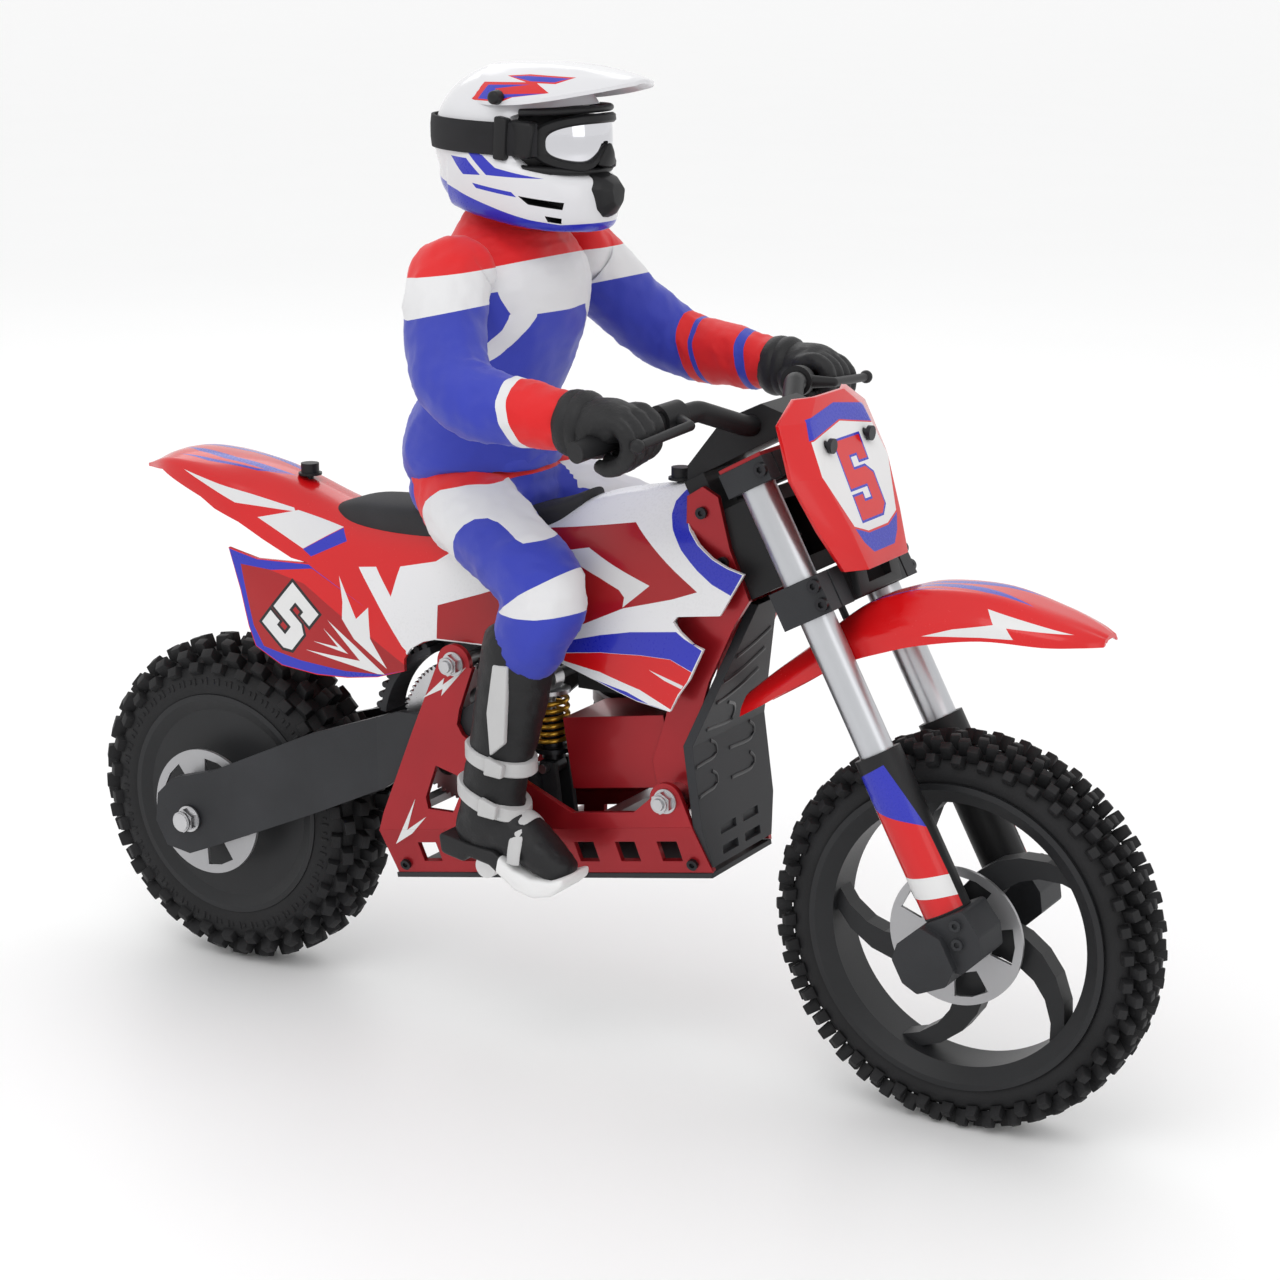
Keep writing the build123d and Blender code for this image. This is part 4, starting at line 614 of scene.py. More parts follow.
def shell_rows(inset=0.0):
    """Cross-sections of the bodywork, or of the hollow inside it."""
    rows = smooth_rows(SHELL, 9)
    out = []
    for x, ridge, yt, zt, ys, zs, yl, zl in rows:
        half = [(0.0, ridge), (yt * 0.55, ridge - (ridge - zt) * 0.25), (yt, zt),
                (yt * 0.42 + ys * 0.58 + 0.8, zt * 0.5 + zs * 0.5 + 1.2), (ys, zs),
                (ys + (yl - ys) * 0.35, zs + (zl - zs) * 0.2),
                (ys + (yl - ys) * 0.75, zs + (zl - zs) * 0.5), (yl, zl)]
        profile = smooth_rows(half, 4)
        profile = [(y * (1 - inset / max(ys, yl)), z - inset) for y, z in profile]
        profile[-1] = (profile[-1][0], zl - 12 * (inset > 0))
        out.append([Vector((x, -y, z)) for y, z in profile[::-1]]
                   + [Vector((x, y, z)) for y, z in profile[1:]])
    return out[2:] if inset else out


shell = rows_mesh("bodywork", shell_rows(), "red_gloss", angle=50)
hollow = shell_rows(1.6)
hollow.append([p + Vector((4, 0, 0)) for p in hollow[-1]])
cut(shell, prism("side", SHELL_SIDE, -60, 60), "INTERSECT", 40)
cut(shell, rows_mesh("hollow", hollow, "red_gloss"), angle=40)
HEAD_GAP = [(66.4, 249.5), (63.3, 247.0), (60.3, 242.9), (61.1, 237.8), (64.3, 232.8),
            (69.5, 227.8),
            (76.7, 223.2), (83.6, 220.4), (91.0, 218.5), (98, 217), (100, 275), (78, 275)]
cut(shell, prism("head_gap", HEAD_GAP, -60, 60), angle=40)
WHITE_SIDE = [(-96.5, 199.6), (-87.7, 200.6), (-79.3, 188.8), (-75.5, 202), (-58, 206), (-46, 214),
              (-42, 275), (110, 275), (110, 130), (-64, 130), (-66, 158), (-71.5, 166)]
tank = mirrored(shell, "tank_part")
cut(tank, prism("white_side", WHITE_SIDE, -60, 60), "INTERSECT", 40)
cut(shell, prism("white_side", WHITE_SIDE, -60, 60), angle=40)
tank.data.materials.clear()
tank.data.materials.append(PAINT["white_gloss"])
shell = joined("bodywork", [shell, tank])
shade(shell, 40)
take(shell, "chassis", "body_plastic", "body_shell")


SIDE_PRINT = [  # paint, outlines in x and z, later ones over earlier ones
    ("print_white", [
        [(-193.8, 232), (-135.4, 220.2), (-134, 218.8), (-163.3, 220.6)],
        [(-151.3, 215.3), (-133, 219.4), (-109.3, 214.3), (-125.8, 204.4)]]),
    ("blue_gloss", [[(-125.8, 204.2), (-109.2, 214), (-105, 209.3), (-121.2, 201.5)]]),
    ("blue_gloss", [
        [(-166, 200.1), (-149.8, 197.2), (-122, 198.0), (-119, 196.3), (-91.3, 182.7), (-71, 166.4),
         (-71.6, 157.7), (-85, 153.5), (-100, 151.5), (-116, 150.9), (-135, 152.5),
         (-149.6, 159), (-153.6, 167.4), (-158.4, 182.6)]]),
    ("deep_gloss", [
        [(-159, 194.2), (-141.4, 193.5), (-120.1, 196.5), (-91.3, 182.7), (-71, 166.4),
         (-71.6, 157.7),
         (-82.3, 154.6), (-101.4, 154.0), (-125.1, 155.8), (-145.1, 159.4), (-151, 168),
         (-155, 181)]]),
    ("red_gloss", [
        [(-142.4, 193.4), (-120.1, 196.4), (-91.3, 182.7), (-71, 166.4), (-71.6, 160),
         (-88.8, 170.5),
         (-104, 178), (-124, 189.6)]]),
    ("print_white", [
        [(-106, 194.8), (-96.1, 177.4), (-90.3, 183), (-88.8, 169.6), (-80.4, 157.4),
         (-96.9, 168.6),
         (-103.2, 176.6), (-103.4, 183.9)],
        [(-110.6, 175.3), (-93.8, 159.3), (-121.9, 160.9), (-84.8, 154.6), (-81.5, 154.8),
         (-96.9, 166)],
        [(-118.1, 165.2), (-105, 164.1), (-112.9, 171.6), (-99.9, 161.7)]]),
    ("deep_gloss", [
        [(-55.8, 187.8), (-34.6, 195.1), (-24, 199), (-13.5, 223.4), (38.2, 232.8), (46.2, 227.2),
         (71.1, 209.4), (60.1, 205.3), (38.2, 199.2), (11.1, 186.4), (4, 180), (-2, 174.6),
         (-56, 173.4)]]),
    ("print_white", [
        [(-4, 215.8), (18.7, 221), (49.9, 209.7), (37.9, 199.5), (38.4, 203.7), (35.9, 206.4),
         (26.6, 210.1), (15.7, 213.4), (0, 210.5)]]),
    ("blue_gloss", [
        [(4, 178.8), (12.3, 182.4), (27.7, 186.9), (41.9, 190), (62.6, 192.5), (66.2, 190.1),
         (74.2, 186.2), (70, 177), (60.3, 181), (46.7, 181.1), (27.9, 179.8), (9.9, 176.8)],
        [(59.4, 247.9), (55, 245.8), (52.7, 241.8), (53.5, 237.4), (56.6, 232), (62.3, 225.2),
         (70.7, 218), (77.5, 213.1), (85.8, 209.6), (90.5, 218.3), (83.6, 220.1), (76.7, 222.9),
         (69.3, 227.6), (64.1, 232.6), (60.9, 237.8), (60.1, 242.9), (63.1, 247.2), (66, 249)],
        [(25.6, 168.1), (41, 165.1), (52, 160.9), (60, 159.8), (45.5, 162.1)]]),
    ("red_gloss", [
        [(3, 175.5), (9.9, 176.6), (27.9, 179.7), (46.7, 181), (60.3, 180.9), (70, 176.8),
         (68, 172.6),
         (64, 166.9), (60.9, 160.4), (47, 166.7), (28, 171.6), (10, 173.2)]]),
    ("print_white", [
        [(50.9, 175.5), (66.3, 170.8), (65.5, 169.4), (57.8, 172)]]),
]
for paint, outlines in SIDE_PRINT:
    repaint(shell, outlines, paint, where=outward())
for sign, flip in ((-1, False), (1, True)):
    number = digit((-130.6, 173.6), 19.5, 25, -40, flip)
    repaint(shell, [grown(number, 1.3)], "black_gloss", where=outward(sign))
    repaint(shell, [number], "print_white", where=outward(sign))
for sign in (-1, 1):
    streaks = [[(-207, 3.5), (-196, 8.5), (-180, 10.5), (-158, 9.5), (-145, 4), (-160, 5.5),
                (-176, 6.5),
                (-194, 4.5)],
               [(-203, 13.5), (-185, 15.5), (-160, 12.0), (-146, 5.2), (-162, 11), (-184, 13.2)]]
    repaint(shell, [[(x, y * sign) for x, y in s] for s in streaks], "blue_gloss", "xy",
            lambda face: face.normal.z > 0.3)

# ---------------------------------------------------------------- seat and fender
SEAT = [  # x, ridge, half width, low
    (-123, 220.5, 7, 214), (-117, 223.0, 12, 211), (-104, 226.0, 16, 206), (-70, 227.0, 17.5, 204),
    (-40, 228.5, 16.5, 207), (-20, 231.5, 15, 213), (-4, 236.0, 13, 220), (6, 240.2, 9, 228)]
rows = smooth_rows(SEAT, 7)
seat_rows = []
for x, ridge, half, low in rows:
    ring = []
    for k in range(36):
        a = 2 * math.pi * k / 36
        c, s = math.cos(a), math.sin(a)
        y = half * math.copysign(abs(c) ** 0.62, c)
        mid = (ridge - 5.0 + low) / 2
        z = ridge - 4.5 + 4.5 * abs(s) ** 0.7 if s >= 0 else ridge - 4.5 - (ridge - 4.5 - low) * abs(s) ** 0.7
        ring.append(Vector((x, y, z)))
    seat_rows.append(ring)
saddle = rows_mesh("saddle", seat_rows, "seat", angle=55)
take(saddle, "chassis", "seat_pad", "seat")

FENDER = [  # x, ridge, flat half width, side half width, side depth
    (84, 166, 8, 15, 9), (97, 177, 8.5, 18, 12), (110, 187.5, 9, 20, 14), (134, 207.5, 10, 22, 20),
    (150, 215, 10.5, 22.4, 21), (166, 219, 11, 22, 20), (190, 219.5, 11, 21, 16),
    (214, 214.5, 9, 18, 11), (227, 210.5, 6.5, 13, 6.5), (234, 207.5, 4, 7.5, 3.5)]


def fender_rows(drop):
    rows = smooth_rows(FENDER, 6)
    out = []
    for x, ridge, flat, side, depth in rows:
        half = [(0, ridge - drop), (flat * 0.6, ridge - 0.1 - drop), (flat, ridge - 0.9 - drop),
                (flat + (side - flat) * 0.35, ridge - depth * 0.24 - drop * 0.8),
                (side - 1.2 - drop * 0.8, ridge - depth * 0.62 - drop * 0.4),
                (side - drop, ridge - depth)]
        profile = smooth_rows(half, 4)
        out.append([Vector((x, -y, z)) for y, z in profile[::-1]]
                   + [Vector((x, y, z)) for y, z in profile[1:]])
    return out


fender = rows_mesh("front_fender_skin", [a + b[::-1] for a,
                                         b in zip(fender_rows(0), fender_rows(1.7))],
                   "red_gloss", angle=40)
take(fender, "steering", "fender_plastic", "front_fender")

# ---------------------------------------------------------------- number plate
PLATE = [(289.0, 114.5, 12.0, 22.0, 4.0), (281.0, 117.7, 23.0, 37.0, 6.0),
         (261.0, 126.5, 28.5, 41.0, 7.0), (241.0, 135.5, 22.0, 34.0, 7.5),
         (225.0, 141.5, 17.5, 26.5, 6.0)]


def plate_rows(drop):
    return [[Vector((x - back - drop, -wing + drop * 0.3, z)), Vector((x - drop, -flat, z)),
             Vector((x - drop, flat, z)), Vector((x - back - drop, wing - drop * 0.3, z))]
            for z, x, flat, wing, back in PLATE]


plate = rows_mesh("number_plate_shield", [a + b[::-1] for a,
                                          b in zip(plate_rows(0), plate_rows(2.0))],
                  "red_gloss", angle=8)
for y in (-16.8, 16.8):
    hole = tube("screw_hole", [(100, y, 271.5, 1.8, 1.8), (140, y, 271.5, 1.8, 1.8)], "dark", per=1,
                segments=24, side=(0, 0, 1), rounded=False)
    cut(plate, hole, angle=8)
soften = plate.modifiers.new("soften", "BEVEL")
soften.width, soften.segments, soften.limit_method = 0.5 * MM, 3, "ANGLE"
soften.angle_limit = math.radians(8)
settled(plate, 8)
bracket_side = [fork_point(a, 0, s) for a, s in
                ((28.0, 226.5), (29.5, 241.0), (36.0, 250.0), (38.8, 249.0), (33.5, 238.0),
                 (31.0, 226.5))]
bracket = prism("plate_bracket", [(p.x, p.z) for p in bracket_side], -18, 18, "dark", rim=0.6)
hole = [fork_point(a, 0, s) for a, s in ((20.0, 230.5), (20.0, 241.5), (44.0, 241.5),
                                         (44.0, 230.5))]
cut(bracket, prism("window", [(p.x, p.z) for p in hole], -10, 10))
bracket.data.materials.clear()
bracket.data.materials.append(PAINT["dark"])
shield = take(joined("number_plate_body", [plate, bracket]), "steering", "number_plate",
              "number_plate")
shade(shield, 20)

# ---------------------------------------------------------------- rider
trunk = tube("trunk", [
    (-47, 0, 241, 29, 24), (-48.5, 0, 245, 34.5, 29.5), (-49, 0, 250, 37, 31.5),
    (-47.5, 0, 258, 36, 30.5),
    (-45, 0, 268, 33.8, 28), (-43, 0, 280, 32.5, 26), (-39, 0, 296, 36, 28),
    (-36, 0, 310, 40.5, 29.5),
    (-34, 0, 322, 43, 28.5), (-33, 0, 331, 41, 26.0), (-32.5, 0, 338, 35, 23),
    (-32, 0, 344, 28, 20.5),
    (-31, 0, 350, 22.5, 18.5), (-29, 0, 356, 19.5, 17), (-29, 0, 362, 18, 16)], "cloth_blue",
    per=9, segments=120, square=2.15)
creased(trunk, 1.5, 26, (1, 1, 0.8), 1.0)
creased(trunk, 0.5, 8, (1, 1, 2.0), 4.0)
repaint(trunk, [[(-120, 333.3), (-19, 333.3), (-3, 337), (120, 335), (120, 400), (-120, 400)]],
        "cloth_red")
repaint(trunk, [[(-120, 320), (-36, 320), (-17, 323.5), (-14, 313.5), (120, 312), (120, 335),
                 (-3, 337),
                 (-19, 333.3), (-120, 333.3)]], "cloth_white")

arms = []
for sign in (-1, 1):
    arm = tube("arm", [
        (-29, sign * 40, 333, 14, 15), (-30, sign * 49, 329, 16.5, 17),
        (-25, sign * 60, 318, 16.6, 17),
        (-17, sign * 71, 305, 15.6, 16), (-8, sign * 80, 294.5, 15.0, 15.6),
        (4, sign * 84.5, 288.5, 14.6, 15),
        (18, sign * 84.5, 286.5, 13.8, 14.2), (32, sign * 83.4, 285.2, 12.6, 13),
        (44, sign * 82.2, 284, 11.3, 11.6),
        (50, sign * 82, 283.4, 10.6, 10.8)], "cloth_blue", per=9, segments=72, side=(0, 0, 1))
    creased(arm, 1.3, 17, (1.3, 1, 1), 2.0 + sign)
    creased(arm, 0.45, 6, (2.2, 1, 1), 7.0)
    repaint(arm, [[(-60, 328.5), (-9.5, 334.5), (10, 336), (10, 360), (-60, 360)]], "cloth_red")
    repaint(arm, [[(-60, 314.5), (-30, 316.3), (2, 323.5), (10, 325), (10, 336), (-9.5, 334.5),
                   (-60, 328.5)]],
            "cloth_white")
    repaint(arm, [[(22, 306), (22.5, 292), (28, 270), (60, 262), (60, 306)]], "cloth_white")
    repaint(arm, [[(26, 306), (26.8, 292), (32.3, 270), (60, 262), (60, 306)]], "cloth_red")
    if sign > 0:
        repaint(arm, [[(4, 310), (5, 292), (11, 268), (60, 262), (60, 310)]], "cloth_red")
        repaint(arm, [[(9, 310), (10, 292), (16, 268), (18.4, 268), (12.4, 292), (11.4, 310)],
                      [(31, 310), (32, 292), (37, 268), (41.5, 268), (36.5, 292), (35.5, 310)]],
                      "cloth_blue")
    arms.append(arm)
torso = joined("rider_jersey", [trunk])
shade(torso, 70)
take(torso, "chassis", "jersey", "rider_torso")
sleeves = joined("rider_sleeves", arms)
shade(sleeves, 70)
take(sleeves, "chassis", "jersey", "rider_arms")

# Trousers: hips and both legs grown together, then creased.
hips = tube("hips", [(-49, 0, 219, 25, 20), (-48, 0, 224, 32, 26), (-47.5, 0, 232, 35.5, 30),
                     (-47.5, 0, 243, 35, 29.5),
                     (-47.5, 0, 249, 33, 27.5), (-47.5, 0, 252, 27, 22)], "cloth_blue", per=6,
                     segments=90)
legs = [hips]
for sign in (-1, 1):
    legs.append(tube("leg", [
        (-50, sign * 16, 232, 18, 19), (-40, sign * 24, 231.5, 19.5, 20),
        (-24, sign * 33, 226, 19.2, 19.5),
        (-8, sign * 40.5, 219.5, 18, 18.6), (6, sign * 46, 213.5, 17, 18),
        (13, sign * 48.5, 206, 16.2, 17.6),
        (11.5, sign * 50, 197, 15.6, 16.8), (8, sign * 50.4, 189, 15.2, 16.2),
        (5.5, sign * 50.4, 182.5, 15.0, 15.8),
        (4.6, sign * 50.4, 178.5, 14.0, 14.6)], "cloth_blue", per=7, segments=60))
trousers = fused("rider_trousers", legs, 1.9, 6, "cloth_blue")
creased(trousers, 1.5, 20, (1, 1, 1.3), 3.0)
creased(trousers, 0.5, 6.5, (1, 1, 2.2), 5.0)
repaint(trousers, [[(-120, 262), (-120, 236), (-70, 246), (-63, 240), (-61, 224), (-58, 210),
                    (-54, 212),
                    (-55, 226), (-48, 238), (-36, 243), (-18, 245), (-2, 243.5), (20, 238),
                    (30, 262)]], "cloth_red")
repaint(trousers, [[(-57, 224), (-52, 235), (-42, 241.5), (-30, 244.5), (-18, 245.6), (-4, 244),
                    (6, 238.5),
                    (16, 229), (8, 227.6), (0, 230.6), (-6.9, 233.9), (-12, 234.9), (-18, 233.9),
                    (-23, 231), (-27.4, 226.4), (-30, 221), (-31.1, 215.5), (-29.4, 211),
                    (-25.3, 207.2),
                    (-19, 199), (-30, 196), (-48, 205), (-55, 214)]], "cloth_white",
        where=lambda face: abs(face.calc_center_median().y) > 20)
repaint(trousers, [[(-2.6, 198.8), (10, 208), (28, 218.5), (40, 224), (44, 205), (34.4, 201.4),
                    (18.4, 199)]],
        "cloth_white")
shade(trousers, 75)
take(trousers, "chassis", "trousers", "rider_pants")

# Boots
boots = []
for sign in (-1, 1):
    y = 50 * sign
    shaft = tube("shaft", [(1.5, y, 186.5, 14.4, 14.6), (1.0, y, 180, 15.2, 15.4),
                           (-2.0, y, 164, 14.4, 15.0),
                           (-5.5, y, 148, 13.2, 14.4), (-9.5, y, 132, 12.4, 13.6),
                           (-12.0, y, 120, 12.2, 13.8),
                           (-12.5, y, 110, 12.0, 14.5), (-12, y, 101, 11.2, 13.5)], "boot", per=6,
                           segments=60)
    foot = tube("foot", [(-22, y, 104, 10.6, 10.0), (-12, y, 106, 11.8, 13.5),
                         (0, y, 103.5, 11.2, 11.5),
                         (10, y, 98.0, 10.6, 9.0), (18, y, 93.0, 9.8, 7.4),
                         (22.5, y, 90.4, 8.6, 6.2)],
                "boot", per=6, segments=60)
    boot = fused("boot", [shaft, foot], 1.5, 3, "boot")
    creased(boot, 0.7, 9, (1, 1, 1.6), 6.0 + sign)
    sole = prism("sole", [(-33.0, 101.0), (-31.8, 92.5), (-20.5, 90.2), (-18.5, 93.0), (-8, 91.0),
                          (4, 82.5),
                          (13, 80.3), (22, 82.5), (27.6, 87.5), (27.8, 91.5), (21, 89.0),
                          (12, 88.6), (4, 91.2),
                          (-6, 97.5), (-18, 98.5)], y - 11.2, y + 11.2, "white_plastic", rim=2.2)
    repaint(sole, [[(-40, 110), (-40, 80), (-6, 80), (-2, 100)]], "boot")
    bars = prism("shin", [(-1.5, 178.5), (5.5, 178.5), (3.5, 146), (-3.5, 140), (-4.8, 158)],
                 y + sign * 12.6,
                 y + sign * 15.8, "boot_light", rim=0.8)
    pieces = [boot, sole, bars]
    for x, z, tilt, rx, ry in ((-8.0, 135.5, -0.22, 15.0, 13.7), (-11.5, 117.5, -0.34, 15.8, 13.4)):
        band = []
        for k in range(48):
            a = 2 * math.pi * k / 48
            for_x, for_y = math.cos(a) * rx, math.sin(a) * ry
            band.append((for_x, for_y))
        rows = []
        for dz, grow in ((-3.2, -0.4), (-2.6, 0.35), (2.6, 0.35), (3.2, -0.4)):
            rows.append([Vector((x + px * (1 + grow / rx), y + py * (1 + grow / ry),
                                 z + dz + px * tilt))
                         for px, py in band])
        pieces.append(rows_mesh("strap", rows, "boot_light", angle=40))
        buckle = prism("buckle", [(x + 1, z - 4.2), (x + 9.5, z - 4.8), (x + 10.5, z + 0.8),
                                  (x + 2, z + 3.6)],
                       *sorted((y + sign * (ry - 1.5), y + sign * (ry + 1.8))), "boot_light",
                       rim=0.8)
        pieces.append(buckle)
    instep = []
    for t in np.linspace(-1, 1, 17):
        a = t * math.pi / 2
        instep.append((6.0 - 1.2 * abs(t), y + 11.9 * math.sin(a),
                       96.5 + 16.2 * math.cos(a) - 2.0 * abs(t), 3.0, 1.0))
    pieces.append(tube("instep_strap", instep, "boot_light", per=2, segments=16, side=(1, 0, -0.5)))
    boots += pieces
boots = joined("rider_boots_pair", boots)
shade(boots, 45)
take(boots, "chassis", "boot", "rider_boots")

# Gloves
gloves = []
for sign in (-1, 1):
    def at(x, y, z, r, q=None):
        return (x, sign * y, z, r, q or r)
    cuff = tube("cuff", [at(47.0, 82.2, 284.0, 12.2), at(50, 82, 283.6, 12.4),
                         at(53, 82, 283, 11.2), at(57, 82, 282.6, 11.8),
                         at(60, 82, 282.4, 11.6)], "glove", per=4, segments=48)
    palm = tube("palm", [at(54, 82, 283, 11.4, 10.6), at(60, 82, 284, 12.6, 10.4),
                         at(66, 82, 285.6, 12.8, 8.8),
                         at(71, 81.5, 286, 12.0, 6.4)], "glove", per=5, segments=48)
    pieces = [palm]
    for k, y in enumerate((71.8, 78.3, 84.8, 91.0)):
        r = (3.7, 3.9, 3.8, 3.4)[k]
        pieces.append(tube("finger", [at(64, y, 287.0 - 0.4 * k, r),
                                      at(71.5, y, 288.4 - 0.7 * k, r),
                                      at(77.2, y, 283.8 - 0.9 * k, r),
                                      at(76.4, y, 276.0 - 0.9 * k, r),
                                      at(69.5, y, 271.6 - 0.8 * k, r * 0.95),
                                      at(64.5, y, 272.6 - 0.8 * k, r * 0.8)],
                           "glove", per=5, segments=20))
    pieces.append(tube("thumb", [at(58, 72.0, 281, 4.6), at(62.5, 66.6, 277.5, 4.2),
                                 at(68.5, 65.0, 274.5, 3.7),
                                 at(73.0, 66.6, 273.6, 3.2)], "glove", per=5, segments=20))
    hand = fused("hand", pieces, 0.9, 2, "glove")
    creased(hand, 0.35, 5, (1, 1, 1), 8.0)
    rib = [tube("cuff_rib", [at(x, 82, 283.6, 12.9 - abs(x - 49) * 0.05),
                             at(x + 1.6, 82, 283.5, 12.9)], "glove",
                per=2, segments=48) for x in (48.0, 52.0)]
    knuckle = tube("knuckle_pad", [at(66.5, 73, 290.0, 3.4, 1.4), at(67.0, 81, 290.4, 3.6, 1.6),
                                   at(66.5, 89, 289.2, 3.2, 1.3)], "dark", per=6, segments=24,
                                   side=(1, 0, 0))
    gloves += [cuff, hand, knuckle] + rib
gloves = joined("rider_gloves_pair", gloves)
shade(gloves, 60)
take(gloves, "chassis", "glove", "rider_gloves")

# ---------------------------------------------------------------- helmet
def egg(name, centre, radii, paint, power=2.0):
    """Closed rounded body of rings along z."""
    rows = []
    for k in range(1, 30):
        a = math.pi * (k / 30 - 0.5)
        r = math.cos(a) ** (2 / power)
        ring = []
        for m in range(60):
            b = 2 * math.pi * m / 60
            ring.append(Vector((centre[0] + radii[0] * r * math.cos(b),
                                centre[1] + radii[1] * r * math.sin(b),
                                centre[2] + radii[2] * math.sin(a))))
        rows.append(ring)
    return rows_mesh(name, rows, paint)


crown = egg("crown", (-27.5, 0, 381.5), (37.5, 31, 30.6), "helmet", 2.15)
skull = egg("skull", (-34, 0, 368), (28.5, 27.5, 18), "helmet", 2.4)
chin = [(-44, -22, 368, 13, 5), (-32, -27.5, 366.5, 13.5, 5), (-14, -27.2, 362.0, 12.5, 5),
                             (-2, -20.5, 358.6, 11.5, 5), (6.5, -10.5, 357.4, 11.2, 5),
                             (9.0, 0, 357.4, 11.4, 5),
                             (6.5, 10.5, 357.4, 11.2, 5), (-2, 20.5, 358.6, 11.5, 5),
                             (-14, 27.2, 362.0, 12.5, 5),
                             (-32, 27.5, 366.5, 13.5, 5), (-44, 22, 368, 13, 5)]
bar = tube("chin_bar", chin, "helmet", per=7, segments=40, side=(0, 0, 1), square=2.6)
lid = fused("helmet_shell", [crown, skull, bar], 1.15, 7, "helmet")
PORT = [(-15, 392), (-8, 394.8), (4, 396), (40, 397), (40, 371.5), (12, 370.2), (0, 369.4),
        (-9, 371.8), (-15, 378)]
cut(lid, prism("eye_port", PORT, -60, 60), angle=50)
for sign in (-1, 1):
    slot_side = prism("cheek_slot", [(-9.5, 361.6), (5.5, 358.6), (5.0, 355.8), (-5.8, 358.2)],
                      *sorted((sign * 18, sign * 40)))
    cut(lid, slot_side, angle=50)
    low_side = prism("cheek_slot_low", [(-0.5, 353.6), (4.6, 352.4), (4.2, 350.2), (0.2, 351.2)],
                     *sorted((sign * 12, sign * 40)))
    cut(lid, low_side, angle=50)
lining = egg("helmet_lining", (-27, 0, 378), (33, 27.0, 26), "dark", 2.2)
cut(lining, prism("below", [(-80, 352), (40, 352), (40, 300), (-80, 300)], -60, 60), angle=50)
trim = []
for k in range(61):
    a = math.radians(-64 + 128 * k / 60)
    trim.append((-26 + 36.6 * math.cos(a) - 0.5, 30.0 * math.sin(a),
                 394.6 - 1.5 * (1 - math.cos(a)), 1.5, 1.8))
brow = tube("port_trim_top", trim, "dark", per=1, segments=16, side=(0, 0, 1))
trim = []
for k in range(61):
    a = math.radians(-70 + 140 * k / 60)
    trim.append((-26 + 35.6 * math.cos(a), 29.2 * math.sin(a),
                 370.2 + 3.0 * (1 - math.cos(a)) ** 1.2, 1.6, 2.0))
sill = tube("port_trim_low", trim, "dark", per=1, segments=16, side=(0, 0, 1))

VISOR = [  # x, half width, ridge z, edge z
    (-36, 25, 411.6, 398.5), (-24, 28.5, 412.2, 397.8), (-10, 29.4, 412.2, 398.4),
    (4, 27.6, 411.2, 400.2),
    (14, 24.5, 409.8, 402.0), (22, 19.5, 408.4, 403.6), (27.5, 12.5, 407.2, 405.0),
    (30, 5, 406.4, 405.8)]


def visor_rows(drop):
    rows = smooth_rows(VISOR, 6)
    out = []
    for x, half, ridge, edge in rows:
        row = []
        for k in range(-12, 13):
            t = k / 12
            z = edge + (ridge - edge) * (1 - abs(t) ** 2.6)
            z += 0.7 * math.exp(-((abs(t) - 0.38) / 0.07) ** 2) * min(1, max(0, (26 - x) / 20))
            row.append(Vector((x, half * t, z - drop)))
        out.append(row)
    return out


peak = rows_mesh("helmet_peak", [a + b[::-1] for a, b in zip(visor_rows(0), visor_rows(1.5))],
                 "helmet", angle=45)
screws = [tube("peak_screw", [(-20, s * 28.6, 399.5, 3.0, 3.0), (-20, s * 31.6, 399.5, 2.7, 2.7)],
               "dark", per=2,
               segments=24, side=(1, 0, 0)) for s in (-1, 1)]

take(lid, "chassis", "helmet_shell", "helmet")
inner = joined("helmet_inner", [lining, brow, sill] + screws)
shade(inner, 50)
take(inner, "chassis", "dark_plastic")
take(peak, "chassis", "helmet_shell", "helmet_visor")


# Goggles: a moulded frame and a mirrored lens bent round the face.
def on_face(turn, z, out=0.0):
    a = math.radians(turn)
    return Vector((-22.5 + (34.0 + out) * math.cos(a), (25.2 + out) * math.sin(a), z))


def goggle_edge(t, grow):
    c, s = math.cos(t), math.sin(t)
    turn = (60 + grow * 2.6) * math.copysign(abs(c) ** 0.72, c)
    z = 381.4 + (9.6 + grow) * math.copysign(abs(s) ** 0.70, s)
    if s < 0:
        z += 7.6 * math.exp(-(turn / 13) ** 2)
    return turn, z


rows = []
steps = 120
for k in range(steps):
    t = 2 * math.pi * k / steps
    loop = []
    for grow, out in ((1.6, -3.0), (2.0, 1.0), (1.2, 2.2), (-1.0, 2.4), (-1.9, 1.6), (-2.2, -0.5),
                      (-2.0, -3.0)):
        turn, z = goggle_edge(t, grow)
        loop.append(on_face(turn, z, out))
    rows.append(loop)
rows.append(rows[0])
rim = rows_mesh("goggle_rim", rows, "dark", caps=False, angle=35)
nose = tube("nose_guard", [tuple(on_face(0, 373.0, 1.2)) + (5.8, 2.0),
                           tuple(on_face(0, 377.0, 2.4)) + (4.0, 1.6),
                           tuple(on_face(0, 380.6, 2.6)) + (1.6, 1.0)], "dark", per=6, segments=28)
strap_rows = []
for k in range(73):
    a = math.radians(52 + 256 * k / 72)
    wide = 6.4
    cx, cy = -27.5 + 38.2 * math.cos(a), 31.7 * math.sin(a)
    base = 383.8 - 1.2 * math.cos(a)
    out = Vector((math.cos(a), math.sin(a), 0))
    point = Vector((cx, cy, base))
    strap_rows.append([point + Vector((0, 0, -wide)) - out * 1.0,
                       point + Vector((0, 0, -wide)) + out * 0.3,
                       point + Vector((0, 0, -wide * 0.4)) + out * 0.75,
                       point + Vector((0, 0, wide * 0.4)) + out * 0.75,
                       point + Vector((0, 0, wide)) + out * 0.3,
                       point + Vector((0, 0, wide)) - out * 1.0])
strap = rows_mesh("goggle_strap", strap_rows, "strap", angle=60)
clips = []
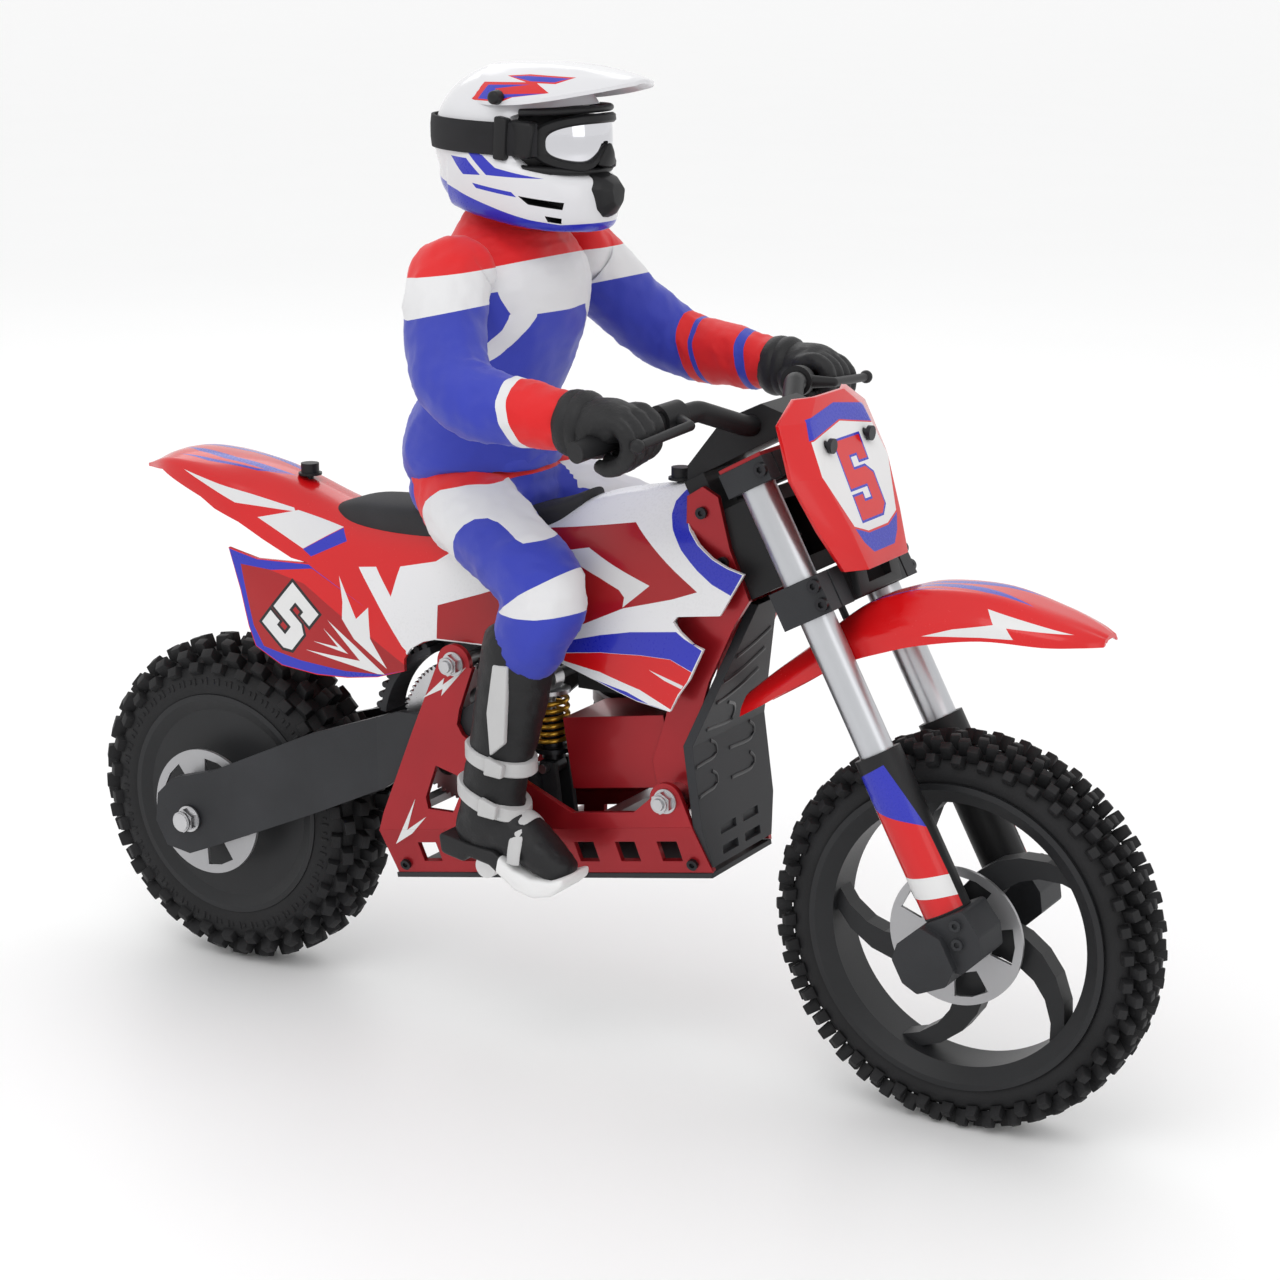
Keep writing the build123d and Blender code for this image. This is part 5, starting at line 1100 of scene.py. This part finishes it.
for sign in (-1, 1):
    clip = prism("clip", [(-20.5, 375.5), (-15.0, 375.0), (-14.0, 391.5), (-19.5, 392.5)],
                 *sorted((sign * 27.5, sign * 32.6)), "dark", rim=1.0)
    clips.append(clip)
    arm = prism("outrigger", [(-16, 377.0), (-6, 375.5), (-4, 390.0), (-15, 391.0)],
                *sorted((sign * 22.0, sign * 29.6)), "dark", rim=1.6)
    clips.append(arm)
goggles = joined("goggle_frame", [rim, nose] + clips)
shade(goggles, 40)
take(goggles, "chassis", "dark_plastic", "goggles")
take(strap, "chassis", "dark_plastic")
rows = []
for q in range(1, 15):
    grow = q / 14
    ring = []
    for k in range(steps):
        turn, z = goggle_edge(2 * math.pi * k / steps, -1.6)
        ring.append(on_face(turn * grow, 381.4 + (z - 381.4) * grow, 0.6 + 0.5 * (1 - grow ** 2)))
    rows.append(ring)
lens = rows_mesh("goggle_mirror", rows, "mirror", caps=False, angle=70)
take(lens, "chassis", "mirror_lens", "goggle_lens")

rings = []
for x, scale, dz in ((5.0, 1.0, 0.0), (10.5, 1.0, 0.0), (15.5, 0.80, 0.3), (18.8, 0.46, 0.8)):
    ring = []
    for y, z in ((0, 369.8), (6.5, 369.2), (10.4, 363.5), (8.4, 354.6), (4.5, 350.8), (0, 350.2),
                 (-4.5, 350.8),
                 (-8.4, 354.6), (-10.4, 363.5), (-6.5, 369.2)):
        ring.append(Vector((x - max(0, (z - 366) * 0.25), y * scale,
                            360.5 + (z - 360.5) * scale + dz)))
    rings.append(ring)
vent = rows_mesh("chin_vent", rings, "dark", angle=20)
soften = vent.modifiers.new("soften", "BEVEL")
soften.width, soften.segments, soften.limit_method = 0.6 * MM, 3, "ANGLE"
soften.angle_limit = math.radians(12)
settled(vent, 20)
take(vent, "chassis", "dark_plastic", "mouth_vent")

# ---------------------------------------------------------------- printed graphics
def mirror_y(outline):
    return [(-p[0], p[1]) for p in outline]


repaint(lid, [[(-35.2, 379.6), (-25.9, 376.9), (-19.2, 372.2), (-1.1, 368.1), (-23.1, 369.3)],
              [(-43.5, 375.9), (-33.5, 375.5), (-25.9, 369.2), (-34.8, 369.1)],
              [(-30, 366), (-12, 363), (-10, 361), (-28, 364)],
              [(-80, 372), (-39, 362.6), (-17, 355.6), (-5.6, 352.0), (4, 349.8), (30, 350.2),
               (30, 335),
               (-80, 335)]], "blue_gloss")
repaint(peak, [[(-34.5, 398.0), (-31.5, 404.9), (-6.0, 405.4), (2.6, 401.6), (-13.4, 399.6),
                (-18, 397.8)],
               [(-21.6, 407.5), (-11.0, 408.2), (9.6, 407.4), (3.2, 404.9), (-9.4, 405.1)]],
               "red_gloss",
        where=lambda f: abs(f.calc_center_median().y) > 9)
repaint(peak, [[(-31.0, 398.6), (-28.5, 403.9), (-8.0, 404.5), (-24, 402.6), (-19.8, 400.6),
                (1.2, 401.4),
                (-15, 399.6), (-19, 398.4)],
               [(-19.2, 407.2), (-11.6, 407.6), (7.6, 407.0), (2.2, 405.5), (-8.6, 405.7)]],
               "blue_gloss",
        where=lambda f: abs(f.calc_center_median().y) > 9)
repaint(lid, [[(-10, 361.8), (6, 358.8), (5.4, 355.6), (-6.0, 358.0)],
              [(-1, 353.8), (5, 352.6), (4.6, 350.0), (0, 351.0)]],
        "dark", where=lambda f: abs(f.normal.y) < 0.5 or abs(f.calc_center_median().y) < 20)

for sign in (-1, 1):
    sweep = [(-27, 321.9), (-17.5, 322.4), (-19, 312.3), (-24.9, 305.4), (-29.4, 297.2),
             (-36, 290), (-42, 296),
             (-34.1, 301.6), (-31.5, 309.9), (-29, 316)]
    repaint(torso, [sweep if sign < 0 else mirror_y(sweep)], "cloth_white", "yz",
            where=lambda f: f.calc_center_median().x > -34)

WINDOW = [(0, 278.4), (26.3, 274.0), (28.6, 261.3), (18.4, 241.4), (8.5, 238.2), (-8.5, 238.2),
          (-18.4, 241.4),
          (-28.6, 261.3), (-26.3, 274.0)]
facing = lambda f: f.normal.x > 0.3
repaint(shield, [[(-24.4, 282.0), (0, 285.4), (24.4, 282.0), (27.0, 274.4), (0, 279.0),
                  (-27.0, 274.4)],
                 [(-18.4, 240.6), (-8.5, 237.4), (8.5, 237.4), (18.4, 240.6), (14.4, 234.6),
                  (9, 230.2), (-9, 230.2),
                  (-14.4, 234.6)]], "blue_gloss", "yz", facing)
repaint(shield, [WINDOW], "print_white", "yz", facing)
front_number = digit((0.5, 257.0), 22, 29.5)
repaint(shield, [grown(front_number, 0.9)], "blue_gloss", "yz", facing)
repaint(shield, [front_number], "red_gloss", "yz", facing)

repaint(fender, [[(166, 202.6), (178.4, 206.8), (194.2, 210.1), (190.3, 215), (223.8, 208.5),
                  (199.4, 209.4),
                  (202.7, 205.5), (189.9, 205.0), (177, 203.8)]], "print_white",
        where=lambda f: abs(f.calc_center_median().y) > 8)
for sign in (-1, 1):
    repaint(fender, [[(150, 1.5 * sign), (171, 0.8 * sign), (185, 2.6 * sign), (206, 7.8 * sign),
                      (187, 8.2 * sign),
                      (171, 6.0 * sign), (157, 3.6 * sign)],
                     [(128, 9.5 * sign), (150, 9.0 * sign), (176, 9.4 * sign), (150, 7.6 * sign)]],
                     "blue_gloss", "xy",
            where=lambda f: f.normal.z > 0.2)


def label(name, outlines, y, sign, paint, body):
    """Thin printed shapes on the flat side plates."""
    made = [prism(name, outline, *sorted((sign * y, sign * (y + 0.14))),
                  paint=paint) for outline in outlines]
    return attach(joined(name, made), body)


for side, sign in (("right", -1), ("left", 1)):
    label("plate_bolts_" + side, [
        [(-59.8, 148.2), (-48.7, 158.5), (-49.6, 155.3), (-37.5, 164.6), (-50.4, 150.4),
         (-49.6, 153.6)],
        [(-75.7, 80.2), (-65, 102.4), (-69.6, 87.6), (-59.5, 95.2), (-67.0, 86.4)]], 31.5, sign,
        "print_white", "chassis")


def wrapped(name, outline, side, radius, paint, ahead=FORK_OFFSET, lift=0.12, step=4.0):
    """A printed patch on a fork leg; outline points are (degrees from outward to ahead, height)."""
    bm = bmesh.new()
    bm.faces.new([bm.verts.new((p[0], p[1], 0)) for p in outline])
    bm.normal_update()
    bmesh.ops.triangulate(bm, faces=bm.faces)
    where = math.floor(min(p[0] for p in outline) / step) * step + step
    while where < max(p[0] for p in outline):
        bmesh.ops.bisect_plane(bm, geom=bm.verts[:] + bm.edges[:] + bm.faces[:],
                               plane_co=(where, 0, 0),
                               plane_no=(1, 0, 0), dist=1e-5)
        where += step
    for vertex in bm.verts:
        a, s = math.radians(vertex.co.x), vertex.co.y
        out = Vector((0, side * math.cos(a), 0)) + FORK_AHEAD * math.sin(a)
        vertex.co = (fork_point(ahead, side * FORK_Y, s) + out * (radius + lift)) * MM
    data = bpy.data.meshes.new(name)
    bm.to_mesh(data)
    bm.free()
    obj = bpy.data.objects.new(name, data)
    bpy.context.scene.collection.objects.link(obj)
    data.materials.append(PAINT[paint])
    thick = obj.modifiers.new("film", "SOLIDIFY")
    thick.thickness, thick.offset = 0.12 * MM, 1
    settled(obj, 60)
    return obj


# Printed bands on the lower fork legs; points are (degrees from outward to ahead, height).
LEG_PRINT = [
    ("blue_gloss", [(-80, 160.0), (-45, 163.0), (31, 164.3), (66, 136.0), (-20, 146.0),
                    (-80, 152.0)]),
    ("red_gloss", [(-80, 152.0), (-20, 146.0), (66, 136.0), (70, 116.0), (-80, 122.0)]),
    ("print_white", [(-80, 122.0), (70, 116.0), (70, 107.5), (-80, 113.0)]),
    ("red_gloss", [(-80, 113.0), (70, 107.5), (70, 103.0), (-80, 103.0)]),
    ("print_white", [(-80, 158.5), (-66, 159.5), (-58, 140.0), (-52, 121.0), (-80, 122.0)]),
]
for side, sign in (("right", -1), ("left", 1)):
    films = []
    for paint, outline in LEG_PRINT:
        films.append(wrapped("leg_film", outline, sign, FORK_LEG_R, paint,
                             lift=0.12 if paint == "print_white" else 0.05))
    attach(joined("fork_leg_print_" + side, films), "fork_lower")

# Dark raised lines on the belly guard, where its moulded grooves are: hooks low down, slats above. They are
# painted shade, standing for the shadow that falls inside the grooves.
GROOVES = [
    [(75.6, -9.0, 160.5), (74.7, -2.5, 157.8), (73.8, -0.6, 153.4), (73.1, -4.0, 150.6),
     (72.9, -22.0, 151.6)],
    [(71.3, 17.0, 145.2), (71.5, 20.0, 142.6), (72.0, 18.6, 139.6), (72.3, 14.0, 138.0),
     (72.2, -1.5, 138.6)],
    [(71.2, -16.0, 145.3), (71.5, -12.6, 143.2), (72.0, -12.4, 140.0), (72.3, -15.5, 138.2),
     (72.1, -22.5, 137.8), (70.4, -29.5, 137.4)],
    [(72.9, 14.6, 132.8), (73.2, 17.4, 130.2), (73.6, 16.4, 127.6), (73.9, 12.0, 126.0),
     (73.8, -2.5, 126.4)],
    [(72.9, -17.4, 133.0), (73.2, -14.4, 130.8), (73.6, -14.6, 128.2), (73.9, -17.6, 126.2),
     (73.8, -23.5, 125.8), (70.4, -29.5, 125.2)],
]


def skin_tree(obj):
    graph = bpy.context.evaluated_depsgraph_get()
    data = obj.evaluated_get(graph).data
    return BVHTree.FromPolygons([v.co / MM for v in data.vertices],
                                [tuple(p.vertices) for p in data.polygons])


tree = skin_tree(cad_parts["guard_plate"])
lines = []
for points in GROOVES:
    rows = smooth_rows(points, 5)
    onto = []
    for row in rows:
        hit, normal, _, _ = tree.ray_cast(Vector((200, row[1], row[2])), Vector((-1, 0, 0)))
        if hit is not None:
            onto.append((hit.x + 0.05, hit.y, hit.z, 0.85, 0.42))
    if len(onto) > 3:
        lines.append(tube("groove", onto, "black_gloss", per=2, segments=12, side=(0, 0.7, 0.7)))
for low, high in ((163, 178), (172, 187), (181, 196)):
    onto = []
    for t in np.linspace(0, 1, 12):
        y = -20 + 30 * t
        z = low + 8.0 * t ** 1.5
        hit, normal, _, _ = tree.ray_cast(Vector((200, y, z)), Vector((-1, 0, 0)))
        if hit is not None and normal.x > 0.3:
            onto.append((hit.x + 0.05, hit.y, hit.z, 1.0, 0.5))
    if len(onto) > 3:
        lines.append(tube("groove", onto, "black_gloss", per=2, segments=12, side=(0, 0.7, 0.7)))
# These black lines are painted groove shade, not a colour of the guard itself.
if lines:
    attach(joined("guard_groove_shade_lines", lines), "chassis")


# Coil springs on the rear shock and in the fork legs
def coil(name, foot, axis, length, radius, wire, turns, paint, segments=14):
    axis = axis.normalized()
    u = axis.orthogonal().normalized()
    v = axis.cross(u)
    rings = []
    count = int(turns * 28)
    for k in range(count + 1):
        t = k / count
        a = 2 * math.pi * turns * t
        middle = foot + axis * (wire + (length - 2 * wire) * t) + (u * math.cos(a) + v * math.sin(a)) * radius
        out = (u * math.cos(a) + v * math.sin(a))
        ring = []
        for m in range(segments):
            b = 2 * math.pi * m / segments
            ring.append(middle + (out * math.cos(b) + axis * math.sin(b)) * wire)
        rings.append(ring)
    return rows_mesh(name, rings, paint, angle=60)


SHOCK_FOOT, SHOCK_HEAD = Vector((-14, 0, 118)), Vector((-16, 0, 156))
along_shock = (SHOCK_HEAD - SHOCK_FOOT).normalized()
foot = SHOCK_FOOT + along_shock * 8.2
length = (SHOCK_HEAD - SHOCK_FOOT).length - 6.7 - 8.2
spring = coil("shock_spring_coil", foot, along_shock, length, 6.9, 1.05, 6.5, "gold")
take(spring, "shock_lower", "gold_spring", "shock_spring")
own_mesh(spring)

SPRING_LOW, SPRING_HIGH = 108.2, 199.7
legs = [coil("fork_coil", Vector(fork_point(FORK_OFFSET, y, SPRING_LOW)), Vector(FORK_UP),
             SPRING_HIGH - SPRING_LOW,
             4.2, 0.7, 14, "steel", segments=10) for y in (-FORK_Y, FORK_Y)]
springs = joined("fork_spring_coils", legs)
take(springs, "fork_lower", "steel", "fork_springs")
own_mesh(springs)

# ---------------------------------------------------------------- camera, floor and light
CAMERA = Vector((588.88, -944.51, 462.64))
LOOK = Vector((-0.49398, 0.83253, -0.25075))
view = bpy.data.cameras.new("view")
view.lens, view.sensor_width, view.sensor_fit = 76.87, 36.0, "HORIZONTAL"
view.clip_start, view.clip_end = 0.02, 60
camera = bpy.data.objects.new("view", view)
camera.location = CAMERA * MM
camera.rotation_euler = LOOK.to_track_quat("-Z", "Y").to_euler()
bpy.context.scene.collection.objects.link(camera)
bpy.context.scene.camera = camera

floor = made_mesh("floor", [(-30000, -30000, 0), (30000, -30000, 0), (30000, 30000, 0),
                            (-30000, 30000, 0)],
                  [(0, 1, 2, 3)], material("studio_floor", (0.93, 0.93, 0.93), 0.42, 0, 0.004, 4,
                                           60, 0.0))
world = bpy.data.worlds.new("studio")
world.use_nodes = True
world.node_tree.nodes["Background"].inputs["Color"].default_value = (1.0, 1.0, 1.0, 1)
world.node_tree.nodes["Background"].inputs["Strength"].default_value = 1.0
bpy.context.scene.world = world
bpy.context.scene.view_settings.view_transform = "Standard"
bpy.context.scene.view_settings.look = "None"


def lamp(name, at, aim, size, power, color=(1, 1, 1)):
    data = bpy.data.lights.new(name, "AREA")
    data.shape, data.size, data.size_y = "RECTANGLE", size[0], size[1]
    data.energy, data.color = power, color
    obj = bpy.data.objects.new(name, data)
    obj.location = at
    obj.rotation_euler = (Vector(aim) - Vector(at)).to_track_quat("-Z", "Y").to_euler()
    bpy.context.scene.collection.objects.link(obj)


lamp("key", (0.2, -1.3, 1.9), (0, 0, 0.18), (1.4, 1.0), 8)
lamp("front", (1.9, -0.6, 0.9), (0, 0, 0.2), (0.9, 1.2), 3)
lamp("rim", (-1.2, 1.3, 1.5), (0, 0, 0.2), (1.2, 0.8), 4)
